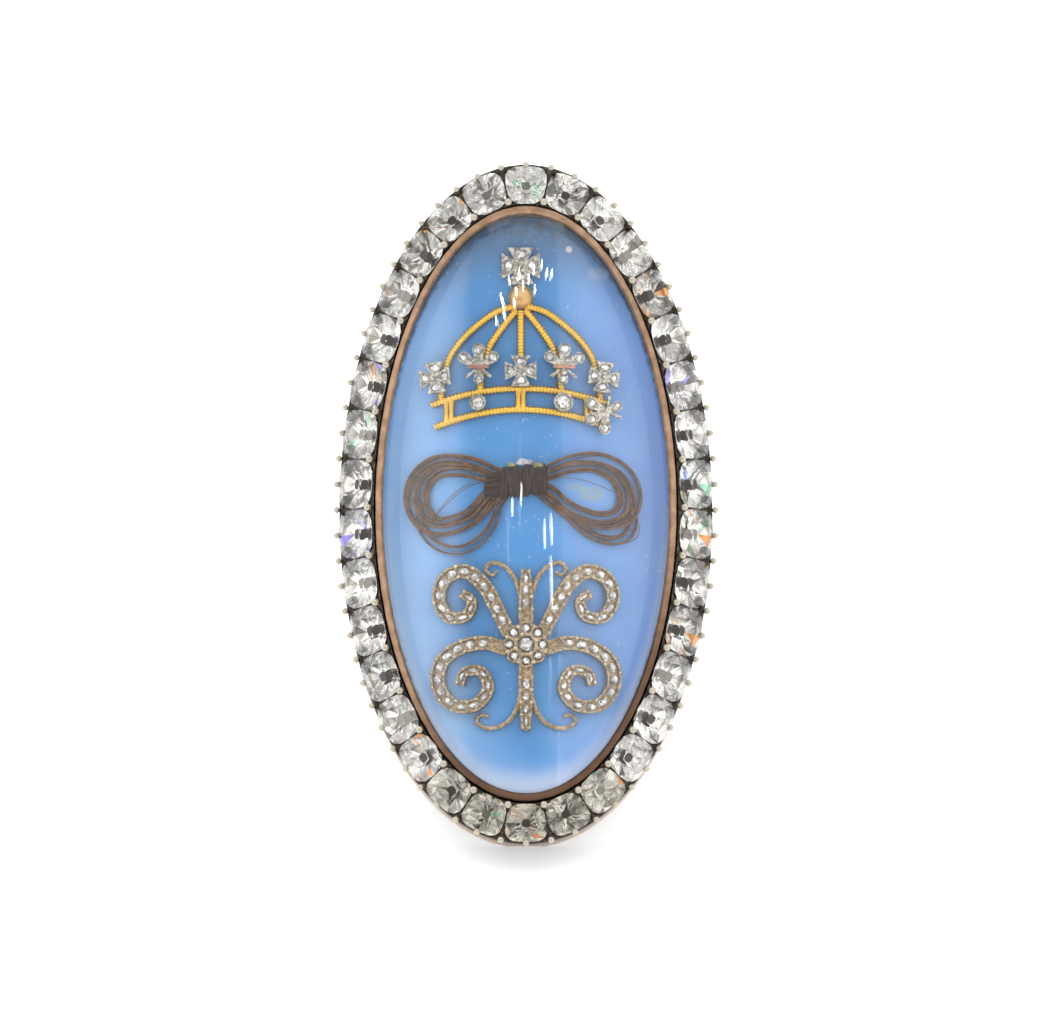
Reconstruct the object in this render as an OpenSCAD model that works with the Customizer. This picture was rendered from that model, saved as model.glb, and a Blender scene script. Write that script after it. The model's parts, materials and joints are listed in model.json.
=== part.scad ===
// Mourning ring. Its oval head is set round with old cut stones, and a domed crystal
// covers a blue ground with a crown, a bow of hair and a jewelled flourish.
// The ring is drawn face up and then leaned back, as it rests by itself on the lower
// tip of its head and the foot of its hoop. All sizes are in millimetres.

/* [Head] */
// Length of the head at the feet of its claws
head_l = 36; // [33:0.5:39]
// Width of the head at the feet of its claws
head_w = 19.9; // [19:0.1:21.5]
// Radius of the curve across the head, at the top of the silver border
curve_r = 15; // [14.5:0.5:17]
// Width of the head's rings at its tips, as a share of their width at its sides
tip_share = 0.92; // [0.88:0.01:1]

/* [Silver border] */
// Width of the silver border with its claws, measured along the curve
border_w = 2.42; // [2.42:0.02:2.7]
// Depth of the silver border
border_t = 1.3; // [1.2:0.1:1.8]
// Radius of the bead at the end of an outer claw
claw_r = 0.17; // [0.14:0.01:0.18]
// Radius of the bead at the end of an inner claw
inner_claw_r = 0.2; // [0.14:0.01:0.22]
// Height of the middle of a claw's bead above the border
claw_h = 0.28; // [0.26:0.01:0.32]
// Radius of the prong under a claw's bead
prong_r = 0.08; // [0.05:0.01:0.08]

/* [Border stones] */
// Size of a stone across the border
stone_w = 2.02; // [1.86:0.02:2.02]
// Silver left between two stones
stone_gap = 0.16; // [0.14:0.02:0.3]
// How much longer the stones at the sides are than those at the tips
side_growth = 1.2; // [1:0.02:1.3]
// Height of a stone's crown above its girdle
stone_crown = 0.4; // [0.25:0.01:0.5]
// Depth of a stone below its girdle
stone_pavilion = 0.82; // [0.6:0.01:0.9]
// Width of a stone's table, as a share of the stone's
stone_table = 0.5; // [0.4:0.02:0.56]
// Width of the flat at a stone's foot, as a share of the stone's
stone_culet = 0.2; // [0.1:0.02:0.3]

/* [Crystal] */
// Width of the rose gold rim
rim_w = 0.44; // [0.35:0.01:0.6]
// Dark gap between the border and the rim
rim_gap = 0.12; // [0.1:0.01:0.25]
// How far the rim stands above the border
rim_rise = 0.25; // [0.1:0.05:0.4]
// How far the crystal's crown stands above the border
dome_rise = 1.2; // [1:0.05:1.5]
// Thickness of the crystal
crystal_t = 0.9; // [0.6:0.05:1]
// Room left between the crystal's edge and the ground
edge_room = 0.36; // [0.34:0.02:0.44]
// Thickness of the blue ground
ground_t = 0.5; // [0.3:0.05:0.6]

/* [Gold back] */
// Depth of the gold back below the silver border
back_h = 1.9; // [1.8:0.1:2.6]
// Thickness of the gold back's floor
back_t = 0.5; // [0.4:0.05:0.6]
// Thickness of the gold back's wall
back_wall = 0.8; // [0.5:0.05:1.2]
// Width of the small flat worn on the lower tip of the gold back
tip_flat = 2; // [1.2:0.1:2.4]

/* [Hoop] */
// Inside diameter of the hoop
finger_d = 17; // [15.5:0.25:17.5]
// Thickness of the hoop at the middle of its width
hoop_t = 1.4; // [1.2:0.1:1.7]
// Width of the hoop
hoop_w = 3; // [2.8:0.1:4]
// Radius of the hoop's rounded outside, across its width
hoop_round = 1.8; // [1.7:0.1:1.8]
// Width of the shoulders under the head
shoulder_w = 7; // [5:0.5:9]

/* [Crown] */
// Height of the crown's foot above the middle of the head
crown_y = 5; // [4.6:0.1:5.2]
// Width of the crown's circlet
crown_w = 8.9; // [8.6:0.1:9.4]
// Height of the crown from the foot of its circlet to the middle of its top cross
crown_h = 7.7; // [7.2:0.1:7.8]
// Diameter of the ridged gold wire
wire_d = 0.4; // [0.3:0.02:0.42]
// Radius of the gold orb
orb_r = 0.66; // [0.5:0.02:0.7]
// Size of a cross on the circlet
cross_s = 1.6; // [1.3:0.05:1.7]
// Size of the cross on the orb
top_cross_s = 1.95; // [1.6:0.05:2]
// Height of a lily
lily_h = 2.15; // [1.8:0.05:2.2]
// Thickness of the silver in crosses and lilies
silver_t = 0.2; // [0.15:0.01:0.22]
// Radius of the round collets between the two bars
collet_r = 0.46; // [0.4:0.01:0.5]

/* [Hair bow] */
// Height of the bow's middle above the middle of the head
bow_y = 0.1; // [-0.1:0.05:0.2]
// Width of the bow
bow_w = 11.3; // [10.8:0.1:11.8]
// Height of the bow
bow_h = 5; // [4.4:0.1:5.2]
// Width of a bundle of hair
hair_w = 0.72; // [0.5:0.02:0.8]
// Thickness of a bundle of hair
hair_t = 0.32; // [0.24:0.02:0.34]

/* [Flourish] */
// Height of the flourish's middle, below the middle of the head
scroll_y = -7.35; // [-7.6:0.05:-7]
// Width of the flourish
scroll_w = 9.1; // [8.8:0.1:9.6]
// Height of the flourish
scroll_h = 9; // [8.4:0.1:9.2]
// Width of its stone set strokes
stroke_w = 0.82; // [0.7:0.02:0.9]
// Height of its stone set strokes
stroke_t = 0.4; // [0.3:0.02:0.44]
// Distance from one small stone to the next
pave_step = 0.66; // [0.6:0.02:0.8]

/* [Fit] */
// Gap left between pieces that are fitted together
gap = 0.03; // [0.02:0.01:0.04]

/* [Hidden] */
$fn = 96;
stone_count = 34;
function stone_name(i) = str("stone_", i < 10 ? "0" : "", i);

// Lines of the head, each given by its distance in from the outermost claws
// An outer claw's prong stands on the border's edge, and its bead leans in from there.
claw_nod = 0.04;
edge_d = claw_r - claw_nod;
stone_d = edge_d + prong_r + gap + stone_w / 2;
inner_claw_d = border_w - inner_claw_r;
rim_d = border_w + rim_gap;
glass_d = rim_d + rim_w + gap;
// Width of the ledge inside the rim that carries the ground
ledge_w = 0.5;

// Half the width and half the length of the oval at a distance d in from the claws
edge_turn = asin(head_w / 2 / curve_r);
function across(d) = curve_r * sin(edge_turn - d / curve_r * 180 / PI);
function along(d) = head_l / 2 - tip_share * d;

// Levels of the head, as radii about the axis of its curve
border_r = curve_r - border_t;
back_top_r = border_r - gap;
back_r = back_top_r - back_h;
floor_r = back_r + back_t;

// Crystal: a barrel that meets the border's level at the sides and at the tips
glass_x = across(glass_d);
glass_y = along(glass_d);
side_drop = curve_r - sqrt(curve_r * curve_r - glass_x * glass_x);
side_rise = dome_rise + side_drop;
dome_r = (glass_x * glass_x + side_rise * side_rise) / (2 * side_rise);
dome_long_r = (glass_y * glass_y + dome_rise * dome_rise) / (2 * dome_rise);
dome_z = dome_rise - dome_r;

// Ground: it rises at its edge to just below the crystal's edge
inner_r = dome_r - crystal_t;
inner_edge_z = dome_z + sqrt(inner_r * inner_r - glass_x * glass_x);
ground_r = norm([glass_x, inner_edge_z - edge_room + curve_r]);

// Hoop: a D shaped wire whose top is sunk into the gold back by the depth of the solder
finger_r = finger_d / 2;
hoop_r = finger_r + hoop_t;
solder = 0.3;
hoop_z = back_r - curve_r + solder - hoop_r;
round_r = hoop_r - hoop_round;

// Shoulders: how far they stop inside the head's edge, the share of their reach over which
// they spread, how far their sides start inside the hoop's, and how deep they sink into it
shoulder_in = 0.6;
shoulder_spread = 0.6;
shoulder_bite = 0.15;
shoulder_sink = 0.35 * hoop_t;

// Lean: the turn about X that brings the back's lower tip and the hoop's foot level
tip_y = along(edge_d) - tip_flat * tip_flat / 8 * along(edge_d) / pow(across(edge_d), 2);
tip_z = sqrt(back_r * back_r - tip_flat * tip_flat / 4) - curve_r;
reach_z = tip_z - hoop_z + round_r;
lean = acos(-hoop_round / norm([reach_z, tip_y])) - atan2(tip_y, reach_z);
floor_z = -tip_y * sin(lean) + tip_z * cos(lean);
front_y = -along(edge_d) * cos(lean) - claw_r;
rear_y = (round_r - hoop_z) * sin(lean) + hoop_round;

// Places of the border stones: a table of the way gone round the oval, read backwards.
// The pace is slower where the stones are longer.
ring_x = across(stone_d);
ring_y = along(stone_d);
function growth(t) = 1 + (side_growth - 1) * pow(sin(t), 2);
function pace(t) = norm([ring_x * cos(t), ring_y * sin(t)]) / growth(t);
way = [for (i = 0, s = 0; i <= 360; s = s + pace(i + 0.5), i = i + 1) [s, i]];
function stone_angle(k) = lookup(way[360][0] * ((k + stone_count) % stone_count) / stone_count, way);
// Angle of the point that lies squarely across the border from the stones' line, at depth d
function square_angle(k, d) =
    let (t = stone_angle(k), long = ring_y * sin(t), wide = ring_x * cos(t))
    t + (stone_d - d) * (tip_share * ring_y - ring_x) * sin(t) * cos(t)
        / (long * long + wide * wide) * 180 / PI;

// A point at angle t round the head, d in from the claws and at radius r
function turn_at(t, d) = asin(across(d) * sin(t) / curve_r);
function head_point(t, d, r) =
    let (a = turn_at(t, d))
    [r * sin(a), along(d) * cos(t), r * cos(a) - curve_r];

// Room along the border for the stone at place k, at depth d
function border_point(k, d) = head_point(square_angle(k, d), d, curve_r);
function stone_room(k, d) = norm(border_point(k + 0.5, d) - border_point(k - 0.5, d));
function stone_long(k) = stone_room(k, stone_d) - stone_gap;
// A stone is longer on its outer side, nearly as its room is
stone_fan = 0.85;
function stone_taper(k) =
    let (out = stone_room(k, stone_d - stone_w / 2), in = stone_room(k, stone_d + stone_w / 2))
    stone_fan * (out - in) / (out + in);
// The border narrows away from the sides: there its stones are narrower and sit a
// little farther in from the claws
stone_shift = 0.9;
function squeeze(t) =
    (along(0) * pow(sin(t), 2) + tip_share * across(0) * pow(cos(t), 2))
        / norm([along(0) * sin(t), across(0) * cos(t)]);
function stone_wide(k) = stone_w * squeeze(stone_angle(k));
function stone_in(k) = stone_d + stone_shift * (1 - squeeze(stone_angle(k)));
// Old stones sit a little askew, by up to this many degrees
most_skew = 1;
function stone_skew(k) = most_skew * sin(k * 137);

// Circlet's two bars: their height at a share u of the crown's width, and the share at
// which each ends
function lower_bar(u) = -0.47 * u * u;
function upper_bar(u) = 0.145 - 0.4 * u * u;
lower_half = 0.48;
upper_half = 0.5;

// Posts between the bars: their places, and their section in shares of the wire
POSTS = [-0.405, 0, 0.385];
post_wide = 1.6;
post_deep = 0.9;

// Height of the orb's middle, as a share of the crown's
orb_v = 0.77;

// Crown's outer arch, right half: shares of the crown's width and height
OUTER_ARCH = [
    [0.02, 0.70], [0.06, 0.70], [0.13, 0.675], [0.205, 0.618], [0.286, 0.538], [0.35, 0.456],
    [0.405, 0.35], [0.44, 0.2], [0.45, 0.08]
];
INNER_ARCH = [[0.025, 0.68], [0.08, 0.60], [0.135, 0.51], [0.18, 0.42], [0.215, 0.28], [0.23, 0.13]];

// Bow's loops: shares of the bow's width and height, and lift above the ground in
// shares of the bundle's thickness
LEFT_LOOP = [
    [-0.14, 0.27, 0.1], [-0.25, 0.36, 0.1], [-0.39, 0.37, 0.1], [-0.48, 0.22, 0.1],
    [-0.495, 0.0, 0.1], [-0.45, -0.19, 0.1], [-0.36, -0.25, 0.1], [-0.24, -0.15, 0.1], [-0.145, 0.14, 0.1]
];
LEFT_DROP = [
    [-0.47, -0.02, 1.25], [-0.455, -0.26, 1.25], [-0.39, -0.43, 1.25], [-0.30, -0.49, 1.25],
    [-0.21, -0.41, 1.25], [-0.14, -0.22, 1.25], [-0.11, -0.02, 1.25]
];
RIGHT_LOOP = [
    [0.108, 0.34, 0.1], [0.2, 0.43, 0.1], [0.31, 0.47, 0.1], [0.41, 0.4, 0.1], [0.47, 0.25, 0.1],
    [0.49, 0.05, 0.1], [0.44, -0.13, 0.1], [0.33, -0.18, 0.1], [0.2, -0.06, 0.1], [0.115, 0.15, 0.1]
];
RIGHT_DROP = [
    [0.19, -0.12, 1.25], [0.27, -0.29, 1.25], [0.36, -0.38, 1.25], [0.44, -0.36, 1.25],
    [0.48, -0.24, 1.25], [0.465, -0.06, 1.25]
];

// Flourish, right half: shares of its width and height. Stone set strokes first,
// then plain tendrils, then the upright leaves on the middle line.
SCROLLS = [
    [
        [0.09, 0.06], [0.155, 0.20], [0.225, 0.34], [0.33, 0.43], [0.44, 0.39], [0.475, 0.27],
        [0.42, 0.165], [0.325, 0.17], [0.295, 0.255], [0.355, 0.305]
    ],
    [
        [0.10, -0.03], [0.225, 0.01], [0.36, -0.015], [0.46, -0.10], [0.475, -0.235], [0.40, -0.345],
        [0.275, -0.35], [0.205, -0.255], [0.245, -0.155], [0.335, -0.16], [0.36, -0.235]
    ]
];
TENDRILS = [
    [[0.022, 0.25], [0.055, 0.37], [0.115, 0.455], [0.19, 0.48], [0.225, 0.44], [0.19, 0.405], [0.16, 0.43]],
    [
        [0.022, -0.25], [0.05, -0.37], [0.115, -0.46], [0.21, -0.485], [0.275, -0.45], [0.25, -0.405],
        [0.205, -0.42]
    ]
];
LEAVES = [[0.1, 0.44], [-0.1, -0.5]];
// Rosette at its middle: the number of its petals, their distance out, the size and height
// of their stones, and those of the stone at its heart
petal_count = 8;
petal_out = 0.86;
petal_stone = 0.5;
petal_h = 0.3;
heart_stone = 0.84;
heart_h = 0.4;

// Points smoothed through a short list, n to each stretch
function mixed(a, b, c, d, u) =
    0.5 * (2 * b + (c - a) * u + (2 * a - 5 * b + 4 * c - d) * u * u + (3 * b - a - 3 * c + d) * u * u * u);
function smooth(p, n) = [
    for (i = [0:len(p) - 2], j = [0:n - (i < len(p) - 2 ? 1 : 0)])
        mixed(p[max(i - 1, 0)], p[i], p[i + 1], p[min(i + 2, len(p) - 1)], j / n)
];

// Distance gone along a path at each of its points
function gone(path) = [
    for (i = 0, s = 0; i < len(path); s = s + norm(path[min(i + 1, len(path) - 1)] - path[i]), i = i + 1) s
];
// Place on a path a distance s along it: x, y and the heading
function on_path(path, s) =
    let (
        far = gone(path),
        xs = [for (i = [0:len(path) - 1]) [far[i], path[i][0]]],
        ys = [for (i = [0:len(path) - 1]) [far[i], path[i][1]]],
        e = 0.1
    )
    [lookup(s, xs), lookup(s, ys),
        atan2(lookup(s + e, ys) - lookup(s - e, ys), lookup(s + e, xs) - lookup(s - e, xs))];

// The curved ground: a plan point p raised to a height h
function ground_turn(x) = asin(x / ground_r);
function lifted(p, h) =
    let (a = ground_turn(p[0]), r = ground_r + h)
    [r * sin(a), p[1], r * cos(a) - curve_r];

// A strand swept along plan points on the ground, its section given at each point.
// Its ends are closed by one face, or by those of a section that isn't convex.
module strand(path, section, ends = undef) {
    n = len(path);
    k = len(section(0));
    rings = [
        for (i = [0:n - 1])
            let (
                here = lifted(path[i], 0),
                ahead = lifted(path[min(i + 1, n - 1)], 0),
                behind = lifted(path[max(i - 1, 0)], 0),
                go = (ahead - behind) / norm(ahead - behind),
                a = ground_turn(path[i][0]),
                up = [sin(a), 0, cos(a)],
                side = cross(go, up)
            )
            for (q = section(i / (n - 1))) here + side * q[0] + up * q[1]
    ];
    sides = [
        for (i = [0:n - 2], j = [0:k - 1])
            [i * k + j, i * k + (j + 1) % k, (i + 1) * k + (j + 1) % k, (i + 1) * k + j]
    ];
    caps = is_undef(ends) ? [[for (j = [0:k - 1]) j]] : ends;
    first = [for (c = caps) [for (j = [len(c) - 1:-1:0]) c[j]]];
    last = [for (c = caps) [for (j = c) (n - 1) * k + j]];
    polyhedron(rings, concat(first, sides, last));
}

function round_section(w, h, lift, sides) =
    [for (j = [0:sides - 1]) [w / 2 * sin(360 * j / sides), lift + h / 2 * (1 - cos(360 * j / sides))]];

// Puts a child on the ground at plan point p, turned in its own plane
module on_ground(p, h, turn = 0) {
    translate([0, 0, -curve_r])
        rotate([0, ground_turn(p[0]), 0])
            translate([0, p[1], ground_r + h])
                rotate([0, 0, turn])
                    children();
}

// Oval outline at a distance d in from the claws
module oval(d, n = 96) {
    polygon([for (i = [0:n - 1]) let (t = 360 * (i + 0.5) / n) [across(d) * sin(t), along(d) * cos(t)]]);
}

// Curved oval plate between two radii about the axis of the head's curve
module head_plate(d, low_r, high_r) {
    intersection() {
        translate([0, 0, -curve_r])
            linear_extrude(2 * curve_r)
                oval(d);
        translate([0, 0, -curve_r])
            rotate([90, 0, 0])
                difference() {
                    cylinder(h = head_l + 2, r = high_r, center = true);
                    cylinder(h = head_l + 4, r = low_r, center = true);
                }
    }
}

// Curved oval ring between two distances in from the claws
module head_ring(d_out, d_in, low_r, high_r) {
    difference() {
        head_plate(d_out, low_r, high_r);
        translate([0, 0, -curve_r])
            linear_extrude(2 * curve_r)
                oval(d_in);
    }
}

// Puts a child on the head at angle t, with X along the border and Z out of it
module on_head(t, d, r) {
    a = turn_at(t, d);
    across_way = [cos(a), 0, -sin(a)];
    out = [sin(a), 0, cos(a)];
    way_on = across_way * across(d) * cos(t) / cos(a) + [0, -along(d) * sin(t), 0];
    tangent = way_on / norm(way_on);
    side = cross(out, tangent);
    p = head_point(t, d, r);
    multmatrix([
        [tangent[0], side[0], out[0], p[0]],
        [tangent[1], side[1], out[1], p[1]],
        [tangent[2], side[2], out[2], p[2]],
        [0, 0, 0, 1]
    ])
        children();
}

module at_stone(k) {
    on_head(stone_angle(k), stone_in(k), curve_r)
        rotate([0, 0, stone_skew(k)])
            children();
}

// Outline of a cushion shaped stone: a rounded square of n points, scaled by share. Its
// length grows from its inner side to its outer side by taper. The higher its power, the
// squarer its corners.
cushion_power = 3.1;
function rounded(c) = sign(c) * pow(abs(c), 2 / cushion_power);
function cushion(w, l, taper, z, n, start, share = 1) = [
    for (j = [0:n - 1])
        let (a = start + 360 * j / n, u = share * rounded(cos(a)), v = share * rounded(sin(a)))
        [u * (1 + taper * v) * l / 2, v * w / 2, z]
];

// Old mine cut stone: table, stars, kites and halves, a girdle, a pavilion and a culet.
// The stars' feet lie at these shares of its width and of its crown's height.
belt = 0.05;
star_share = 0.78;
star_rise = 0.55;
module old_cut(w, l, taper, crown, pavilion) {
    points = concat(
        cushion(w, l, taper, crown, 8, 0, stone_table),
        cushion(w, l, taper, crown * star_rise, 8, 22.5, star_share),
        cushion(w, l, taper, belt / 2, 16, 0),
        cushion(w, l, taper, -belt / 2, 16, 0),
        cushion(w, l, taper, -pavilion, 8, 0, stone_culet)
    );
    table = 0;
    star = 8;
    top = 16;
    low = 32;
    culet = 48;
    polyhedron(points, concat(
        [[for (j = [7:-1:0]) table + j]],
        [for (j = [0:7]) [table + j, table + (j + 1) % 8, star + j]],
        [for (j = [0:7]) [table + j, star + j, top + 2 * j]],
        [for (j = [0:7]) [table + j, top + 2 * j, star + (j + 7) % 8]],
        [for (j = [0:7]) [star + j, top + 2 * j + 1, top + 2 * j]],
        [for (j = [0:7]) [star + j, top + (2 * j + 2) % 16, top + 2 * j + 1]],
        [for (j = [0:15]) [top + j, top + (j + 1) % 16, low + (j + 1) % 16, low + j]],
        [for (j = [0:7]) [culet + j, low + 2 * j, low + 2 * j + 1]],
        [for (j = [0:7]) [culet + j, low + 2 * j + 1, culet + (j + 1) % 8]],
        [for (j = [0:7]) [culet + (j + 1) % 8, low + 2 * j + 1, low + (2 * j + 2) % 16]],
        [[for (j = [0:7]) culet + j]]
    ));
}

// Small rose cut stone with a table and eight facets, wider at its far end by taper
rose_table = 0.52;
module rose_cut(w, l, h, taper = 0) {
    function rim_point(a, share, z) =
        [share * w / 2 * cos(a) * (1 + taper * sin(a)), share * l / 2 * sin(a), z];
    points = concat(
        [for (j = [0:7]) rim_point(45 * j + 22.5, 1, 0)],
        [for (j = [0:7]) rim_point(45 * j + 22.5, rose_table, h)]
    );
    polyhedron(points, concat(
        [[for (j = [0:7]) j]],
        [for (j = [0:7]) [j, 8 + j, 8 + (j + 1) % 8, (j + 1) % 8]],
        [[for (j = [7:-1:0]) 8 + j]]
    ));
}

// Gold: hoop, shoulders and the closed back of the head
module finger_band() color("darkgoldenrod") leaned() {
    difference() {
        head_plate(edge_d, back_r, back_top_r);
        head_plate(edge_d + back_wall, floor_r, back_top_r + 1);
        translate([-head_w / 2, -tip_y - 1, -2 * curve_r])
            cube([head_w, 1, 2 * curve_r]);
    }
    hoop();
    shoulders();
}

module hoop() {
    translate([0, 0, hoop_z])
        rotate([90, 0, 0])
            rotate_extrude()
                intersection() {
                    translate([finger_r, -hoop_w / 2])
                        square([2 * hoop_t, hoop_w]);
                    translate([round_r, 0])
                        circle(r = hoop_round);
                }
}

// Solid shoulders that spread from the hoop's width to their own under the head
module shoulders() {
    reach = across(edge_d) - shoulder_in;
    sweep = (shoulder_w - hoop_w) / 2 + shoulder_bite;
    sweep_r = (sweep * sweep + pow(reach * shoulder_spread, 2)) / (2 * sweep);
    difference() {
        intersection() {
            translate([0, 0, hoop_z])
                linear_extrude(-hoop_z)
                    difference() {
                        square([2 * reach, shoulder_w], center = true);
                        for (x = [-1, 1], y = [-1, 1])
                            translate([x * reach, y * (hoop_w / 2 - shoulder_bite + sweep_r)])
                                circle(r = sweep_r);
                    }
            translate([0, 0, -curve_r])
                rotate([90, 0, 0])
                    cylinder(h = head_l, r = back_r + back_t / 2, center = true);
        }
        translate([0, 0, hoop_z])
            rotate([90, 0, 0])
                cylinder(h = head_l, r = finger_r + shoulder_sink, center = true);
    }
}

// Silver border with its seats and claws
module silver_border() color("gainsboro") leaned() {
    difference() {
        head_ring(edge_d, border_w, border_r, curve_r);
        for (k = [0:stone_count - 1])
            at_stone(k)
                seat(k);
    }
    for (k = [0:stone_count * 2 - 1])
        claw(k / 2, edge_d, claw_nod, claw_r);
    for (k = [0:stone_count - 1])
        claw(k + 0.5, inner_claw_d, 0, inner_claw_r);
}

// Stepped seat: wide at the girdle and narrow round the pavilion, with room below the culet
seat_step = 0.27;
seat_share = 0.82;
seat_room = 0.1;
module seat(k) {
    translate([0, 0, -seat_step])
        linear_extrude(2 * seat_step)
            seat_plan(k, 1);
    translate([0, 0, -stone_pavilion - seat_room])
        linear_extrude(stone_pavilion + seat_room)
            seat_plan(k, seat_share);
}

// Seat's outline: the stone's tapered square with its corners cut off at this share
seat_corner = 0.72;
module seat_plan(k, share) {
    w = stone_wide(k) + 2 * gap;
    l = stone_long(k) + 2 * gap;
    c = seat_corner;
    polygon([
        for (q = [[1, c], [c, 1], [-c, 1], [-1, c], [-1, -c], [-c, -1], [c, -1], [1, -c]])
            share * [q[0] * (1 + stone_taper(k) * share * q[1]) * l / 2, q[1] * w / 2]
    ]);
}

// Prong that rises out of the border at depth d, and its bead of radius r set farther in
prong_root = 0.15;
module claw(k, d, inward, r) {
    on_head(square_angle(k, d), d, curve_r)
        translate([0, 0, -prong_root])
            cylinder(h = prong_root + claw_h, r = prong_r, $fn = 24);
    on_head(square_angle(k, d + inward), d + inward, curve_r)
        translate([0, 0, claw_h])
            rotate([90, 0, 0])
                sphere(r = r, $fn = 32);
}

// Height of the middle of a stone's girdle above the border
stone_lift = 0.05;
module border_stone(k) color("aliceblue") leaned() {
    at_stone(k)
        translate([0, 0, stone_lift])
            old_cut(stone_wide(k), stone_long(k), stone_taper(k), stone_crown, stone_pavilion);
}

// Rose gold rim and the ledge that carries the ground
module crystal_rim() color("rosybrown") leaned() {
    head_ring(rim_d, rim_d + rim_w, floor_r + gap, curve_r + rim_rise);
    head_ring(rim_d + rim_w / 2, rim_d + rim_w + ledge_w, floor_r + gap, ground_r - ground_t - gap);
}

// Barrel under the crystal's outer or inner face
module barrel(shrink) {
    r = dome_r - shrink;
    long_r = dome_long_r - shrink;
    translate([0, 0, dome_z])
        rotate([90, 0, 0])
            rotate_extrude()
                intersection() {
                    translate([0, -head_l / 2])
                        square([r, head_l]);
                    translate([r - long_r, 0])
                        circle(r = long_r);
                }
}

module crystal() color("lightcyan", 0.4) leaned() {
    intersection() {
        translate([0, 0, dome_z])
            linear_extrude(2 * curve_r)
                oval(glass_d);
        difference() {
            barrel(0);
            barrel(crystal_t);
        }
    }
}

module blue_ground() color("cornflowerblue") leaned() {
    head_plate(glass_d, ground_r - ground_t, ground_r);
}

// Plan place in the crown from shares of its width and height
crown_x = -0.26;
function in_crown(u, v) = [crown_x + u * crown_w, crown_y + v * crown_h];
wire_top = gap + wire_d;
setting_h = wire_top + gap;

module crown_wire(shares) {
    strand([for (p = smooth(shares, 3)) in_crown(p[0], p[1])],
        function (s) round_section(wire_d, wire_d, gap, 8));
}

module crown_frame() color("goldenrod") leaned() {
    crown_wire([for (i = [-4:4]) let (u = i / 4 * lower_half) [u, lower_bar(u)]]);
    crown_wire([for (i = [-4:4]) let (u = i / 4 * upper_half) [u, upper_bar(u)]]);
    for (u = POSTS)
        strand([in_crown(u, lower_bar(u)), in_crown(u, upper_bar(u))],
            function (s) round_section(wire_d * post_wide, wire_d * post_deep, gap, 8));
    for (side = [-1, 1]) {
        crown_wire([for (p = OUTER_ARCH) [side * p[0], p[1]]]);
        crown_wire([for (p = INNER_ARCH) [side * p[0], p[1]]]);
    }
    crown_wire([[0, upper_bar(0)], [0, 0.4], [0, OUTER_ARCH[0][1]]]);
    on_ground(in_crown(0, orb_v), 0)
        intersection() {
            translate([0, 0, wire_d / 2])
                sphere(r = orb_r);
            translate([-orb_r, -orb_r, gap])
                cube(2 * orb_r);
        }
}

// Cross with four flared arms, a stone's seat in each and a bead at the middle. These are
// shares of half its size: an arm's half width at the middle, the place, width and length
// of its stone, and the bead's radius. A stone widens outwards by its taper.
arm_root = 0.14;
arm_place = 0.62;
arm_stone_w = 0.62;
arm_stone_l = 0.5;
arm_taper = 0.22;
middle_bead = 0.16;
module flared_cross(size, flare) {
    s = size / 2;
    difference() {
        linear_extrude(silver_t)
            for (a = [0:90:270])
                rotate(a)
                    polygon([[-s * arm_root, 0], [-s * flare, s], [s * flare, s], [s * arm_root, 0]]);
        at_arms(s, silver_t / 2)
            linear_extrude(silver_t)
                seat_outline(s * arm_stone_w + 2 * gap, s * arm_stone_l + 2 * gap, arm_taper);
    }
    translate([0, 0, silver_t])
        sphere(r = s * middle_bead);
}

module at_arms(s, h) {
    for (a = [0:90:270])
        rotate([0, 0, a])
            translate([0, arm_place * s, h])
                children();
}

module seat_outline(w, l, taper) {
    polygon([
        for (j = [0:7])
            let (a = 45 * j + 22.5)
            [w / 2 * cos(a) * (1 + taper * sin(a)), l / 2 * sin(a)]
    ]);
}

// How far a small stone's table stands above the silver round it
small_rise = 0.1;
module cross_stones(size) {
    s = size / 2;
    at_arms(s, silver_t / 2 + gap)
        rose_cut(s * arm_stone_w, s * arm_stone_l, silver_t / 2 + small_rise, arm_taper);
}

// Lily: rows of its petals. Columns: turn from upright, then as shares of the lily's
// height the distance out to the petal's round end, that end's radius and its stone's radius
PETALS = [
    [0, 0.43, 0.15, 0.115],
    [56, 0.42, 0.14, 0.105],
    [-56, 0.42, 0.14, 0.105],
    [180, 0.3, 0.12, 0.085],
    [130, 0.36, 0.04, 0],
    [-130, 0.36, 0.04, 0]
];

// Petal that widens from the lily's middle to a round end. Its neck runs from a share of
// that end's radius at the middle to where it meets the round at an angle.
neck_root = 0.4;
neck_angle = 25;
lily_middle = 0.09;
module petal(out, r) {
    x = r * cos(neck_angle);
    y = out - r * sin(neck_angle);
    translate([0, out])
        circle(r = r);
    polygon([[-x, y], [-r * neck_root, 0], [r * neck_root, 0], [x, y]]);
}

module at_petal_stone(row) {
    rotate([0, 0, row[0]])
        translate([0, row[1] * lily_h, silver_t / 2])
            children();
}

module lily() {
    difference() {
        linear_extrude(silver_t) {
            circle(r = lily_middle * lily_h);
            for (row = PETALS)
                rotate(row[0])
                    petal(row[1] * lily_h, row[2] * lily_h);
        }
        for (row = PETALS)
            if (row[3] > 0)
                at_petal_stone(row)
                    linear_extrude(silver_t)
                        seat_outline(2 * row[3] * lily_h + 2 * gap, 2 * row[3] * lily_h + 2 * gap, 0);
    }
}

module lily_stones() {
    for (row = PETALS)
        if (row[3] > 0)
            at_petal_stone(row)
                translate([0, 0, gap])
                    rose_cut(2 * row[3] * lily_h, 2 * row[3] * lily_h, silver_t / 2 + small_rise);
}

// Places in the crown: shares of its width and height, and the turn in degrees
CROSSES = [[-0.467, 0.225, 6], [0, 0.26, 0], [0.455, 0.225, -8]];
LILIES = [[-0.23, 0.29, 0], [0.237, 0.29, -2]];
LOOSE_LILY = [0.47, -0.01, 118];

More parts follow.
